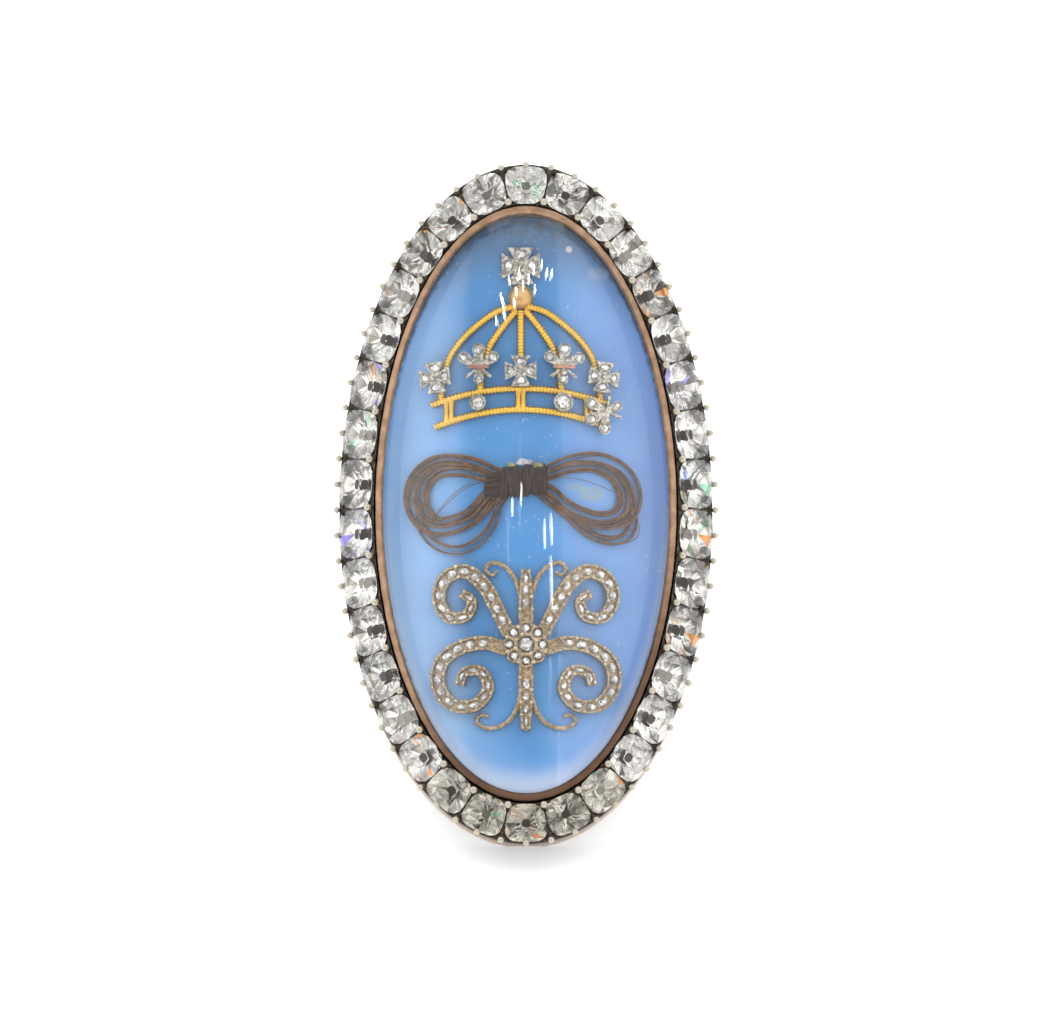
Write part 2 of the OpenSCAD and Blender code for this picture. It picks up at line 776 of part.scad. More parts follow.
module in_crown_place(row, h) {
    on_ground(in_crown(row[0], row[1]), h, row[2])
        children();
}

module circlet_cross(i) color("silver") leaned() in_crown_place(CROSSES[i], setting_h)
    flared_cross(cross_s, 0.62);

module top_cross_place() {
    on_ground(in_crown(0, orb_v) + [0, orb_r + gap + top_cross_s / 2], gap)
        children();
}

module cross_top() color("silver") leaned() top_cross_place()
    flared_cross(top_cross_s, 0.7);

module crown_lily(row) color("silver") leaned() in_crown_place(row, setting_h)
    lily();

// Pink gold bar across the middle of a lily: shares of the lily's height, and its thickness
bar_long = 0.52;
bar_wide = 0.09;
bar_t = 0.12;
module fleur_bars() color("rosybrown") leaned() {
    for (row = LILIES)
        in_crown_place(row, setting_h + silver_t + gap + bar_t / 2)
            cube([bar_long * lily_h, bar_wide * lily_h, bar_t], center = true);
}

// Round collets between the bars of the circlet: place along them, and size. Their wells
// and stones are shares of their radius.
COLLETS = [[-0.235, 0.92], [0.235, 1.08]];
well_share = 0.8;
collet_stone = 0.75;
function collet_place(u) = in_crown(u, (lower_bar(u) + upper_bar(u)) / 2);

module circlet_collets() color("silver") leaned() {
    for (c = COLLETS)
        on_ground(collet_place(c[0]), setting_h)
            difference() {
                cylinder(h = silver_t, r = collet_r * c[1]);
                translate([0, 0, silver_t / 2])
                    cylinder(h = silver_t, r = collet_r * c[1] * well_share);
            }
}

module collet_jewel(d) {
    rose_cut(d, d, silver_t / 2 + small_rise);
}

module crown_stones() color("aliceblue") leaned() {
    top_cross_place()
        cross_stones(top_cross_s);
    for (row = CROSSES)
        in_crown_place(row, setting_h)
            cross_stones(cross_s);
    for (row = [LILIES[0], LILIES[1], LOOSE_LILY])
        in_crown_place(row, setting_h)
            lily_stones();
    for (c = COLLETS)
        on_ground(collet_place(c[0]), setting_h + silver_t / 2 + gap)
            collet_jewel(2 * collet_r * c[1] * collet_stone);
}

// Bow of hair, its loops swept as bundles. The loops that hang below them are thinner.
bow_x = -0.1;
drop_share = 0.6;
module hair_bundle(shares, width) {
    strand([for (p = smooth(shares, 3)) [bow_x + p[0] * bow_w, bow_y + p[1] * bow_h]],
        function (s) round_section(width, hair_t, gap + hair_t * shares[0][2], 8));
}

module bow_left() color("saddlebrown") leaned() {
    hair_bundle(LEFT_LOOP, hair_w);
    hair_bundle(LEFT_DROP, hair_w * drop_share);
}

module bow_right() color("saddlebrown") leaned() {
    hair_bundle(RIGHT_LOOP, hair_w);
    hair_bundle(RIGHT_DROP, hair_w * drop_share);
}

// Tie round the bow's middle, along a line given in shares of the bow. Its width, a share
// of the bow's height, and its thickness, a share of the hair's, grow to its middle.
TIE_LINE = [[-0.117, 0.214], [0.087, 0.256]];
TIE_WIDTH = [0.26, 0.33];
TIE_THICKNESS = [1.35, 1.65];
function between(pair, u) = pair[0] + (pair[1] - pair[0]) * u;
module bow_tie() color("darkslategray") leaned() {
    path = [for (i = [0:6]) let (p = between(TIE_LINE, i / 6)) [bow_x + p[0] * bow_w, bow_y + p[1] * bow_h]];
    strand(path, function (s) let (belly = sin(180 * s))
        round_section(between(TIE_WIDTH, belly) * bow_h, between(TIE_THICKNESS, belly) * hair_t, gap, 12));
}

// Flourish: a path in plan from its shares, on the given side
function scroll_path(shares, side) =
    [for (p = smooth(shares, 3)) [side * p[0] * scroll_w, scroll_y + p[1] * scroll_h]];
function leaf_path(row) = [for (i = [0:6]) [0, scroll_y + between(row, i / 6) * scroll_h]];

// Trough shaped section of a stone set stroke, with the width of its lips and the height of
// its bed, and the faces that close its ends
lip = 0.11;
bed_t = 0.55 * stroke_t;
function trough(w) = [
    [w / 2, gap], [w / 2, gap + stroke_t], [w / 2 - lip, gap + stroke_t], [w / 2 - lip, gap + bed_t],
    [lip - w / 2, gap + bed_t], [lip - w / 2, gap + stroke_t], [-w / 2, gap + stroke_t], [-w / 2, gap]
];
TROUGH_ENDS = [[0, 1, 2, 3], [0, 3, 4, 7], [4, 5, 6, 7]];
// Width of a stroke at the share s of its way: it swells and then tapers
function swell(s) = stroke_w * (0.8 + 0.2 * sin(180 * pow(s, 0.7)) - 0.24 * s);

module stroke(path) {
    strand(path, function (s) trough(swell(s)), TROUGH_ENDS);
}

// Plain round wire that thins towards its curled end
TENDRIL_WIDTH = [0.28, 0.18];
tendril_t = 0.19;
module tendril(path) {
    strand(path, function (s) round_section(between(TENDRIL_WIDTH, s), tendril_t, 1.5 * gap, 6));
}

// Stones set along a stroke, each as wide as its bed allows: the bare way at its root and
// tip, the gap between two stones, and how high a stone stands above its bed
bare_root = 0.38;
bare_tip = 0.12;
pave_gap = 0.13;
pave_h = 0.26;
module stroke_stones(path) {
    far = gone(path)[len(path) - 1];
    count = floor((far - bare_root - bare_tip) / pave_step);
    for (i = [0:count - 1]) {
        s = far - bare_tip - pave_step * (count - i - 0.5);
        place = on_path(path, s);
        w = swell(s / far) - 2 * lip - 2 * gap;
        on_ground([place[0], place[1]], gap + bed_t + gap, place[2])
            rose_cut(pave_step - pave_gap, w, pave_h);
    }
}

module rosette() {
    linear_extrude(stroke_t + 2 * gap) {
        circle(r = petal_out);
        for (a = [0:360 / petal_count:359])
            rotate(a)
                translate([0, petal_out])
                    circle(r = petal_stone / 2 + lip, $fn = 24);
    }
}

module rosette_seats() {
    translate([0, 0, bed_t])
        linear_extrude(stroke_t)
            seat_outline(heart_stone + 2 * gap, heart_stone + 2 * gap, 0);
    at_petals(bed_t)
        linear_extrude(stroke_t)
            seat_outline(petal_stone + 2 * gap, petal_stone + 2 * gap, 0);
}

module at_petals(h) {
    for (a = [0:360 / petal_count:359])
        rotate([0, 0, a])
            translate([0, petal_out, h])
                children();
}

module scroll_mount() color("darkkhaki") leaned() {
    difference() {
        union() {
            for (side = [-1, 1]) {
                for (row = SCROLLS)
                    stroke(scroll_path(row, side));
                for (row = TENDRILS)
                    tendril(scroll_path(row, side));
            }
            for (row = LEAVES)
                stroke(leaf_path(row));
            on_ground([0, scroll_y], 2 * gap)
                rosette();
        }
        on_ground([0, scroll_y], 2 * gap)
            rosette_seats();
    }
}

module scroll_stones() color("aliceblue") leaned() {
    for (side = [-1, 1], row = SCROLLS)
        stroke_stones(scroll_path(row, side));
    for (row = LEAVES)
        stroke_stones(leaf_path(row));
    on_ground([0, scroll_y], 2 * gap) {
        translate([0, 0, bed_t + gap])
            rose_cut(heart_stone, heart_stone, heart_h);
        at_petals(bed_t + gap)
            rose_cut(petal_stone, petal_stone, petal_h);
    }
}

// Leans the ring back to its rest, with its box centred and standing on the floor
module leaned() {
    translate([0, -(front_y + rear_y) / 2, -floor_z])
        rotate([lean, 0, 0])
            children();
}

finger_band();
silver_border();
crystal_rim();
crystal();
blue_ground();
crown_frame();
cross_top();
circlet_cross(0);  // cross_left
circlet_cross(1);  // cross_centre
circlet_cross(2);  // cross_right
crown_lily(LILIES[0]);  // fleur_left
crown_lily(LILIES[1]);  // fleur_right
crown_lily(LOOSE_LILY);  // fleur_loose
fleur_bars();
circlet_collets();
crown_stones();
bow_left();
bow_right();
bow_tie();
scroll_mount();
scroll_stones();
for (i = [1:stone_count])
    border_stone(i - 1);
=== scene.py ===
"""Mourning ring: the looks of its gold, silver, diamonds, crystal, hair and blue glass."""

import json
import math
import random

import bpy
from mathutils import Matrix, Vector


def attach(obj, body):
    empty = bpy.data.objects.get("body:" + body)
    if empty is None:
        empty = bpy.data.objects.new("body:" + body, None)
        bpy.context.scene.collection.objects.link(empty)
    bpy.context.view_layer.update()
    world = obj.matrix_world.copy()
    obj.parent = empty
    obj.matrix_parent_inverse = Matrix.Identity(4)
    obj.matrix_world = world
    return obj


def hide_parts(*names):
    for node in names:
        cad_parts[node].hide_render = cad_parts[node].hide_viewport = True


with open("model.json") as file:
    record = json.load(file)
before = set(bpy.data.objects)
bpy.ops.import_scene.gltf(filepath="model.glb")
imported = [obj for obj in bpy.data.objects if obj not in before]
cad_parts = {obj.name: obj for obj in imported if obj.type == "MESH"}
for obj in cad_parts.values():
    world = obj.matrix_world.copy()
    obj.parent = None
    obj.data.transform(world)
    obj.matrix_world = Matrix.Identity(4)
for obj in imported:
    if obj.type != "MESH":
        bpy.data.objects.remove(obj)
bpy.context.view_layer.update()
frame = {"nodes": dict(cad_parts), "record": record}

# Sizes of the head, in millimetres: X goes across it, Y along it and Z out of its face
MM = 0.001
HEAD_L = 36.0
HEAD_W = 19.9
CURVE_R = 15.0
TIP_SHARE = 0.92
HOOP_DEPTH = 12.83
BORDER_W = 2.42
RIM_D = BORDER_W + 0.12
RIM_W = 0.44
RIM_RISE = 0.25
GAP = 0.03
GLASS_D = RIM_D + RIM_W + GAP
DOME_RISE = 1.2
CRYSTAL_T = 0.9
EDGE_ROOM = 0.36
GROUND_T = 0.5
OVAL_SIDES = 160

# The head leans back: its frame is found from the finger hole's mount
hole = frame["record"]["mounts"][0]
LEAN = math.atan2(hole["axis"][2], hole["axis"][1])
face_way = Vector((0, -math.sin(LEAN), math.cos(LEAN)))
head_centre = Vector(hole["pos_m"]) + face_way * HOOP_DEPTH * MM
HEAD_TO_ROW = Matrix.Translation(head_centre) @ Matrix.Rotation(LEAN, 4, "X") @ Matrix.Scale(MM, 4)


def across(d):
    """Half the head's width at a distance d in from the claws."""
    return CURVE_R * math.sin(math.asin(HEAD_W / 2 / CURVE_R) - d / CURVE_R)


def along(d):
    """Half the head's length at a distance d in from the claws."""
    return HEAD_L / 2 - TIP_SHARE * d


GLASS_X = across(GLASS_D)
GLASS_Y = along(GLASS_D)
side_rise = DOME_RISE + CURVE_R - math.sqrt(CURVE_R**2 - GLASS_X**2)
DOME_R = (GLASS_X**2 + side_rise**2) / (2 * side_rise)
DOME_LONG_R = (GLASS_Y**2 + DOME_RISE**2) / (2 * DOME_RISE)
DOME_Z = DOME_RISE - DOME_R
inner_edge = DOME_Z + math.sqrt((DOME_R - CRYSTAL_T) ** 2 - GLASS_X**2)
GROUND_R = math.hypot(GLASS_X, inner_edge - EDGE_ROOM + CURVE_R)


def on_curve(x, level):
    """Height on the head's curve, at a level above the top of the silver border."""
    return math.sqrt((CURVE_R + level) ** 2 - x * x) - CURVE_R


def on_dome(x, y, depth=0.0):
    """Height of the crystal's outer face, or of the face at a depth below it."""
    long_r = DOME_LONG_R - depth
    r = DOME_R - DOME_LONG_R + math.sqrt(long_r**2 - y * y)
    return DOME_Z + math.sqrt(r * r - x * x)


def on_ground(x, y, h=0.0):
    """Point on the curved ground over plan place x, y, raised by h square to it."""
    a = math.asin(x / GROUND_R)
    return Vector(((GROUND_R + h) * math.sin(a), y, (GROUND_R + h) * math.cos(a) - CURVE_R))


# Photograph: the head's middle and one pixel's size, for places read from it
PHOTO_W, PHOTO_H = 1041, 1029
PHOTO_MID = (526, 502.5)
PIXEL = 0.0523


def from_photo(px, py):
    """Plan place on the head of a pixel of the photograph, in millimetres."""
    return (px - PHOTO_MID[0]) * PIXEL, (PHOTO_MID[1] - py) * PIXEL


# Materials: places and sizes in them are millimetres on the head

# Depth of dents and scratches, in metres
DENT = 0.00004
HAIR_DENT = 0.00002
STONE_IOR = 1.62
CRYSTAL_IOR = 1.5


def new_material(name):
    material = bpy.data.materials.new(name)
    material.use_nodes = True
    return material, material.node_tree.nodes["Principled BSDF"]


def add(material, kind, **inputs):
    """A new shader node; each value goes to the input of that name, or is linked if it is an output."""
    node = material.node_tree.nodes.new(kind)
    wire(material, node, **inputs)
    return node


def wire(material, node, **inputs):
    for name, value in inputs.items():
        socket = node.inputs[name.replace("_", " ")]
        if isinstance(value, bpy.types.NodeSocket):
            material.node_tree.links.new(value, socket)
        else:
            socket.default_value = value


def head_place(material):
    """Place on the head in millimetres, with its height measured from the axis of its curve."""
    coords = add(material, "ShaderNodeTexCoord")
    turn = Matrix.Rotation(-LEAN, 4, "X")
    mapping = add(
        material,
        "ShaderNodeMapping",
        Vector=coords.outputs["Object"],
        Rotation=(-LEAN, 0, 0),
        Scale=(1 / MM, 1 / MM, 1 / MM),
        Location=Vector((0, 0, CURVE_R)) - turn @ head_centre / MM,
    )
    return mapping.outputs["Vector"]


def noise(material, place, scale, detail=3.0, roughness=0.5):
    return add(
        material, "ShaderNodeTexNoise", Vector=place, Scale=scale, Detail=detail, Roughness=roughness
    ).outputs["Fac"]


def remap(material, value, low, high, to_low=0.0, to_high=1.0):
    node = add(material, "ShaderNodeMapRange")
    node.interpolation_type = "SMOOTHSTEP"
    wire(material, node, Value=value, From_Min=low, From_Max=high, To_Min=to_low, To_Max=to_high)
    return node.outputs["Result"]


def math_node(material, operation, a, b):
    node = material.node_tree.nodes.new("ShaderNodeMath")
    node.operation = operation
    for socket, value in zip(node.inputs, (a, b)):
        if isinstance(value, bpy.types.NodeSocket):
            material.node_tree.links.new(value, socket)
        else:
            socket.default_value = value
    return node.outputs["Value"]


def plus(material, a, b):
    return math_node(material, "ADD", a, b)


def times(material, a, b):
    return math_node(material, "MULTIPLY", a, b)


def vector_node(material, operation, place, other=None):
    """A place subtracted or multiplied by a plain vector, or its length."""
    node = add(material, "ShaderNodeVectorMath", Vector=place)
    node.operation = operation
    if other is None:
        return node.outputs["Value"]
    node.inputs[1].default_value = other
    return node.outputs["Vector"]


def split_place(material, place):
    parts = add(material, "ShaderNodeSeparateXYZ", Vector=place)
    return parts.outputs["X"], parts.outputs["Y"], parts.outputs["Z"]


def colour_mix(material, factor, first, second):
    node = material.node_tree.nodes.new("ShaderNodeMix")
    node.data_type = "RGBA"
    for socket, value in ((node.inputs[0], factor), (node.inputs[6], first), (node.inputs[7], second)):
        if isinstance(value, bpy.types.NodeSocket):
            material.node_tree.links.new(value, socket)
        else:
            socket.default_value = value
    return node.outputs[2]


def bump(material, shader, height, strength, depth=DENT):
    node = add(material, "ShaderNodeBump", Height=height, Strength=strength, Distance=depth)
    wire(material, shader, Normal=node.outputs["Normal"])


def hexed(code):
    """Linear colour of an sRGB hex code."""
    parts = [int(code[i : i + 2], 16) / 255 for i in (0, 2, 4)]
    return tuple(c / 12.92 if c <= 0.04045 else ((c + 0.055) / 1.055) ** 2.4 for c in parts) + (1.0,)


def set_surface(shader, metallic, roughness):
    shader.inputs["Metallic"].default_value = metallic
    shader.inputs["Roughness"].default_value = roughness


def worn_metal(name, pale, dull, roughness, grain=2.0, dents=0.15):
    """Metal with cloudy wear and fine scratches."""
    material, shader = new_material(name)
    place = head_place(material)
    cloud = remap(material, noise(material, place, grain, 4.0, 0.6), 0.35, 0.65)
    wire(material, shader, Base_Color=colour_mix(material, cloud, hexed(dull), hexed(pale)))
    shader.inputs["Metallic"].default_value = 1.0
    scratches = noise(material, place, grain * 9, 3.0, 0.65)
    smooth, rough = roughness - 0.08, roughness + 0.08
    wire(material, shader, Roughness=remap(material, scratches, 0.3, 0.7, smooth, rough))
    bump(material, shader, scratches, dents)
    return material


def head_level(material, place):
    """Height above the top of the silver border."""
    flat = vector_node(material, "MULTIPLY", place, (1, 0, 1))
    return math_node(material, "SUBTRACT", vector_node(material, "LENGTH", flat), CURVE_R)


def oxidised_silver():
    """Silver with creamy beads on its claws, black between the stones and grey down its side."""
    material, shader = new_material("old_silver")
    place = head_place(material)
    grime = noise(material, place, 3.0, 4.0, 0.6)
    level = plus(material, head_level(material, place), times(material, grime, 0.14))
    bead = remap(material, level, 0.2, 0.36)
    side = remap(material, level, -0.2, -0.7, 0.0, 0.8)
    glints = remap(material, noise(material, place, 5.0, 3.0), 0.56, 0.66, 0.0, 0.45)
    dark = colour_mix(material, glints, hexed("463d37"), hexed("968c7b"))
    body = colour_mix(material, side, dark, hexed("8f887c"))
    wire(material, shader, Base_Color=colour_mix(material, bead, body, hexed("beb7a6")))
    shader.inputs["Metallic"].default_value = 0.6
    wire(material, shader, Roughness=remap(material, bead, 0.0, 1.0, 0.5, 0.26))
    bump(material, shader, noise(material, place, 14.0), 0.3)
    return material


def rim_gold():
    """Matte rose gold, with painted shade that darkens it towards the lower right of the rim."""
    material, shader = new_material("rose_gold_rim")
    place = head_place(material)
    x, y, _ = split_place(material, place)
    cloud = remap(material, noise(material, place, 1.6, 4.0, 0.6), 0.35, 0.65)
    body = colour_mix(material, cloud, hexed("9a7c64"), hexed("b8967b"))
    # Painted shade: darker towards the lower right of the rim
    low_right = plus(material, y, times(material, x, -0.5))
    foot = remap(material, low_right, -4.0, -13.0, 0.0, 0.9)
    wire(material, shader, Base_Color=colour_mix(material, foot, body, hexed("5f4636")))
    set_surface(shader, 0.85, 0.5)
    bump(material, shader, noise(material, place, 14.0, 3.0, 0.65), 0.25)
    return material


def wire_gold():
    """Yellow gold wire: bright with painted light on its ridges, ochre with painted shade in its
    grooves, browner on the orb.
    """
    material, shader = new_material("yellow_gold_wire")
    place = head_place(material)
    rise = math_node(material, "SUBTRACT", head_level(material, place), GROUND_R - CURVE_R + GAP)
    # Painted light and shade: the higher a point of the wire stands above the ground, the brighter it
    # is
    crest = remap(material, rise, 0.16, 0.385)
    body = colour_mix(material, crest, hexed("a3650f"), hexed("fbcb50"))
    orb = remap(material, rise, 0.43, 0.5)
    wire(material, shader, Base_Color=colour_mix(material, orb, body, hexed("e8b878")))
    set_surface(shader, 0.85, 0.34)
    return material


def clear_surface(shader, ior):
    shader.inputs["Transmission Weight"].default_value = 1.0
    shader.inputs["IOR"].default_value = ior
    shader.inputs["Roughness"].default_value = 0.0


def diamond_material():
    """Clear crown of an old stone, with painted shade that turns it olive grey at the lower tip of the
    head.
    """
    material, shader = new_material("old_cut_diamond")
    place = head_place(material)
    _, y, _ = split_place(material, place)
    # Painted shade: olive grey at the lower tip of the head
    foot = remap(material, y, -13.0, -16.0, 0.0, 0.8)
    haze = remap(material, noise(material, place, 0.8, 2.0), 0.35, 0.7, 0.0, 0.5)
    clear = colour_mix(material, haze, hexed("ffffff"), hexed("f8f7f2"))
    wire(material, shader, Base_Color=colour_mix(material, foot, clear, hexed("d9d4c2")))
    clear_surface(shader, STONE_IOR)
    return material


def facet_material(name, tone, roughness=0.17):
    """Mirror of a facet at the back of a stone, a little cloudy; its tone is a painted reflection."""
    material, shader = new_material(name)
    place = head_place(material)
    cloud = remap(material, noise(material, place, 1.7, 2.0), 0.35, 0.65, 0.82, 1.0)
    shade = tuple(c * 0.8 for c in hexed(tone)[:3]) + (1.0,)
    wire(material, shader, Base_Color=colour_mix(material, cloud, shade, hexed(tone)))
    set_surface(shader, 1.0, roughness)
    return material


def small_stone_material():
    """Rose cut stones: painted glints that also glow, and facets painted grey to pale as reflections,
    each smaller than a stone.
    """
    material, shader = new_material("rose_cut_diamond")
    place = head_place(material)
    cells = add(material, "ShaderNodeTexVoronoi", Vector=place, Scale=6.0)
    parts = add(material, "ShaderNodeSeparateColor", Color=cells.outputs["Color"])
    shade = remap(material, parts.outputs["Red"], 0.2, 0.7)
    body = colour_mix(material, shade, hexed("b3aea5"), hexed("f4f0e8"))
    # Painted glints: some cells turn white and glow
    glint = remap(material, parts.outputs["Green"], 0.8, 0.84)
    wire(material, shader, Base_Color=colour_mix(material, glint, body, hexed("ffffff")))
    set_surface(shader, 0.2, 0.12)
    wire(material, shader, Emission_Color=hexed("ffffff"))
    wire(material, shader, Emission_Strength=times(material, glint, 0.4))
    return material


def crystal_material():
    material, shader = new_material("rock_crystal")
    place = head_place(material)
    haze = remap(material, noise(material, place, 0.5, 2.0), 0.3, 0.7)
    wire(material, shader, Base_Color=colour_mix(material, haze, hexed("ffffff"), hexed("f4f7ff")))
    clear_surface(shader, CRYSTAL_IOR)
    return material


# Marks that age has left on the ground: place in the photograph, half width and half height
# in millimetres, colour and strength
GROUND_MARKS = [
    ((590, 490), (0.8, 0.42), "9aa48c", 0.5),
    ((574, 484), (0.5, 0.25), "8fa294", 0.45),
    ((478, 512), (0.5, 0.2), "8fa58c", 0.6),
    ((568, 244), (0.17, 0.17), "e8dfe4", 0.9),
    ((612, 232), (0.5, 0.35), "aebfdc", 0.5),
    ((596, 268), (0.6, 0.4), "b4c4e0", 0.4),
]


def age_mark(material, place, ragged, body, mark):
    """Lays one mark over the ground's colour."""
    (px, py), (wide, tall), colour, strength = mark
    away = vector_node(material, "SUBTRACT", place, (*from_photo(px, py), 0))
    shape = vector_node(material, "MULTIPLY", away, (1 / wide, 1 / tall, 0))
    reach = plus(material, vector_node(material, "LENGTH", shape), ragged)
    return colour_mix(material, remap(material, reach, 1.7, 1.2, 0.0, strength), body, hexed(colour))


def blue_glass_material():
    """Opalescent blue: rich in the middle, paler at the sides and foot, greyish at the top, pale along
    the lower part of its edge, painted shade along the upper part of its edge, a painted glow towards
    the edge and specked with age."""
    material, shader = new_material("opal_blue_glass")
    place = head_place(material)
    x, y, _ = split_place(material, place)
    drift = times(material, noise(material, place, 0.22, 2.0), 2.4)
    off_middle = math_node(material, "ABSOLUTE", plus(material, x, 0.8), 0.0)
    pale = remap(material, plus(material, off_middle, drift), 2.5, 6.0)
    flank = colour_mix(material, remap(material, x, -2.0, 2.0), hexed("86b9f0"), hexed("70a3e2"))
    body = colour_mix(material, pale, hexed("438dcb"), flank)
    violet = remap(material, plus(material, x, drift), 5.2, 8.6, 0.0, 0.4)
    body = colour_mix(material, violet, body, hexed("8fa4ea"))
    low_left = plus(material, times(material, x, -1.0), times(material, y, -0.45))
    sheen = remap(material, low_left, 5.0, 10.0, 0.0, 0.6)
    body = colour_mix(material, sheen, body, hexed("a1c8f0"))
    foot = remap(material, y, -13.0, -14.9, 0.0, 0.6)
    body = colour_mix(material, foot, body, hexed("a9c4ea"))
    top = remap(material, y, 11.0, 15.0, 0.0, 0.9)
    body = colour_mix(material, top, body, hexed("5f7f9f"))

    # Share of the way from the middle of the ground out to its edge
    oval = vector_node(material, "MULTIPLY", place, (1 / GLASS_X, 1 / GLASS_Y, 0))
    way_out = vector_node(material, "LENGTH", oval)
    pale_edge = remap(material, way_out, 0.9, 0.985, 0.0, 0.75)
    pale_edge = times(material, pale_edge, remap(material, y, 3.0, -4.0))
    body = colour_mix(material, pale_edge, body, hexed("c6d3ea"))
    # Painted shade: a ragged dark line just inside the rim, along the upper part of the edge
    ragged = times(material, noise(material, place, 2.4, 4.0, 0.6), 0.05)
    painted_edge_shade = remap(material, plus(material, way_out, ragged), 0.985, 1.01, 0.0, 0.75)
    painted_edge_shade = times(material, painted_edge_shade, remap(material, y, -12.0, -8.5))
    body = colour_mix(material, painted_edge_shade, body, hexed("31506f"))
    smudge = remap(material, noise(material, place, 2.2, 4.0, 0.65), 0.5, 0.62, 0.0, 0.6)
    smudge = times(material, smudge, remap(material, y, 13.6, 14.6))
    body = colour_mix(material, smudge, body, hexed("5c5f5c"))

    specks = remap(material, noise(material, place, 5.0, 3.0), 0.64, 0.72, 0.0, 0.5)
    patches = remap(material, noise(material, place, 0.35, 2.0), 0.48, 0.62)
    dust = times(material, specks, patches)
    body = colour_mix(material, dust, body, hexed("cfd3e2"))
    ragged = times(material, noise(material, place, 1.6, 4.0, 0.6), 1.1)
    for mark in GROUND_MARKS:
        body = age_mark(material, place, ragged, body, mark)
    wire(material, shader, Base_Color=body, Emission_Color=body)

    # Painted light: the glass glows towards its edge, but not into the rim or the top
    glow = remap(material, way_out, 0.76, 0.96, 0.0, 0.3)
    glow = times(material, glow, remap(material, way_out, 0.995, 0.975))
    wire(material, shader, Emission_Strength=times(material, glow, remap(material, y, 13.0, 8.0)))
    shader.inputs["Roughness"].default_value = 0.28
    shader.inputs["Coat Weight"].default_value = 0.2
    return material


def hair_material(name, dark, light):
    material, shader = new_material(name)
    place = head_place(material)
    streak = remap(material, noise(material, place, 2.6, 3.0, 0.6), 0.3, 0.7)
    wire(material, shader, Base_Color=colour_mix(material, streak, hexed(dark), hexed(light)))
    shader.inputs["Roughness"].default_value = 0.45
    shader.inputs["Specular IOR Level"].default_value = 0.4
    bump(material, shader, noise(material, place, 20.0), 0.2, HAIR_DENT)
    return material


red_gold = worn_metal("red_gold", "b98f66", "ae845c", 0.3, 0.9, 0.12)
rose_gold = rim_gold()
yellow_gold = wire_gold()
bar_gold = worn_metal("pink_gold_bars", "dba68a", "b27c63", 0.34, 3.0)
old_silver = oxidised_silver()
setting_silver = worn_metal("setting_silver", "e2dccb", "857b69", 0.34, 6.0, 0.35)
silver_gilt = worn_metal("silver_gilt", "d3bb95", "8c7554", 0.4, 7.0, 0.3)
gilt_beads = worn_metal("gilt_beads", "efe2c2", "b8a078", 0.3, 4.0, 0.2)
diamond = diamond_material()
# Painted reflections: the facets' bright, grey and dark tones, the dark culets and the coloured fire
facet_tones = [
    facet_material("facet_bright", "fffefc"),
    facet_material("facet_grey", "d2d1ce"),
    facet_material("facet_dark", "8f8b83"),
    facet_material("culet_dark", "453f3b", 0.3),
    facet_material("fire_orange", "ffb26a"),
    facet_material("fire_violet", "a99cff"),
    facet_material("fire_green", "b0f5cf"),
]
small_diamond = small_stone_material()
rock_crystal = crystal_material()
blue_glass = blue_glass_material()
hair_tones = [
    hair_material("hair_brown", "543821", "835d3c"),
    hair_material("hair_dark", "1e1108", "3c2615"),
    hair_material("hair_light", "93704c", "c69f74"),
]
tie_hair = hair_material("tie_hair", "1f0f02", "3f230c")
old_glue = hair_material("old_glue", "8f8a84", "c9cad0")
green_glue = hair_material("green_glue", "5f5c3a", "9c9a68")

CAD_FINISHES = {
    "finger_band": red_gold,
    "silver_border": old_silver,
    "crystal_rim": rose_gold,
    "crystal": rock_crystal,
    "blue_ground": blue_glass,
    "crown_frame": yellow_gold,
    "fleur_bars": bar_gold,
    "circlet_collets": setting_silver,
    "crown_stones": small_diamond,
    "scroll_mount": silver_gilt,
    "scroll_stones": small_diamond,
    "bow_left": hair_tones[0],
    "bow_right": hair_tones[0],
    "bow_tie": tie_hair,
}
for name, node in frame["nodes"].items():
    finish = CAD_FINISHES.get(name)
    if name.startswith("stone_"):
        finish = diamond
    elif finish is None:
        finish = setting_silver
    node.data.materials.clear()
    node.data.materials.append(finish)


# Modelling helpers


def start_piece():
    bpy.ops.object.select_all(action="DESELECT")


def place_piece(obj, name, finish, nodes):
    """Sets a piece modelled in the head's frame where the head is, in place of CAD nodes."""
    obj.name = name
    obj.data.name = name
    obj.data.transform(HEAD_TO_ROW)
    if finish:
        obj.data.materials.clear()
        obj.data.materials.append(finish)
    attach(obj, "root")
    if nodes:
        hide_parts(*nodes)
    return obj


def extrude_ring(scale_x, scale_y, rise):
    bpy.ops.mesh.extrude_region_move()
    bpy.ops.transform.resize(value=(scale_x, scale_y, 1))
    bpy.ops.transform.translate(value=(0, 0, rise))


def oval_ring(profile):
    """A closed ring swept round the head: rows of distance in from the claws, and level."""
    start_piece()
    bpy.ops.mesh.primitive_circle_add(vertices=OVAL_SIDES, radius=1)
    obj = bpy.context.object
    bpy.ops.object.mode_set(mode="EDIT")
    bpy.ops.transform.resize(value=(across(profile[0][0]), along(profile[0][0]), 1))
    bpy.ops.transform.translate(value=(0, 0, profile[0][1]))
    for (d0, z0), (d1, z1) in zip(profile, profile[1:]):
        extrude_ring(across(d1) / across(d0), along(d1) / along(d0), z1 - z0)
    bpy.ops.mesh.select_all(action="DESELECT")
    bpy.ops.mesh.select_non_manifold()
    bpy.ops.mesh.bridge_edge_loops()
    outward_normals()
    bpy.ops.object.mode_set(mode="OBJECT")
    for v in obj.data.vertices:
        v.co.z = on_curve(v.co.x, v.co.z)
    return obj


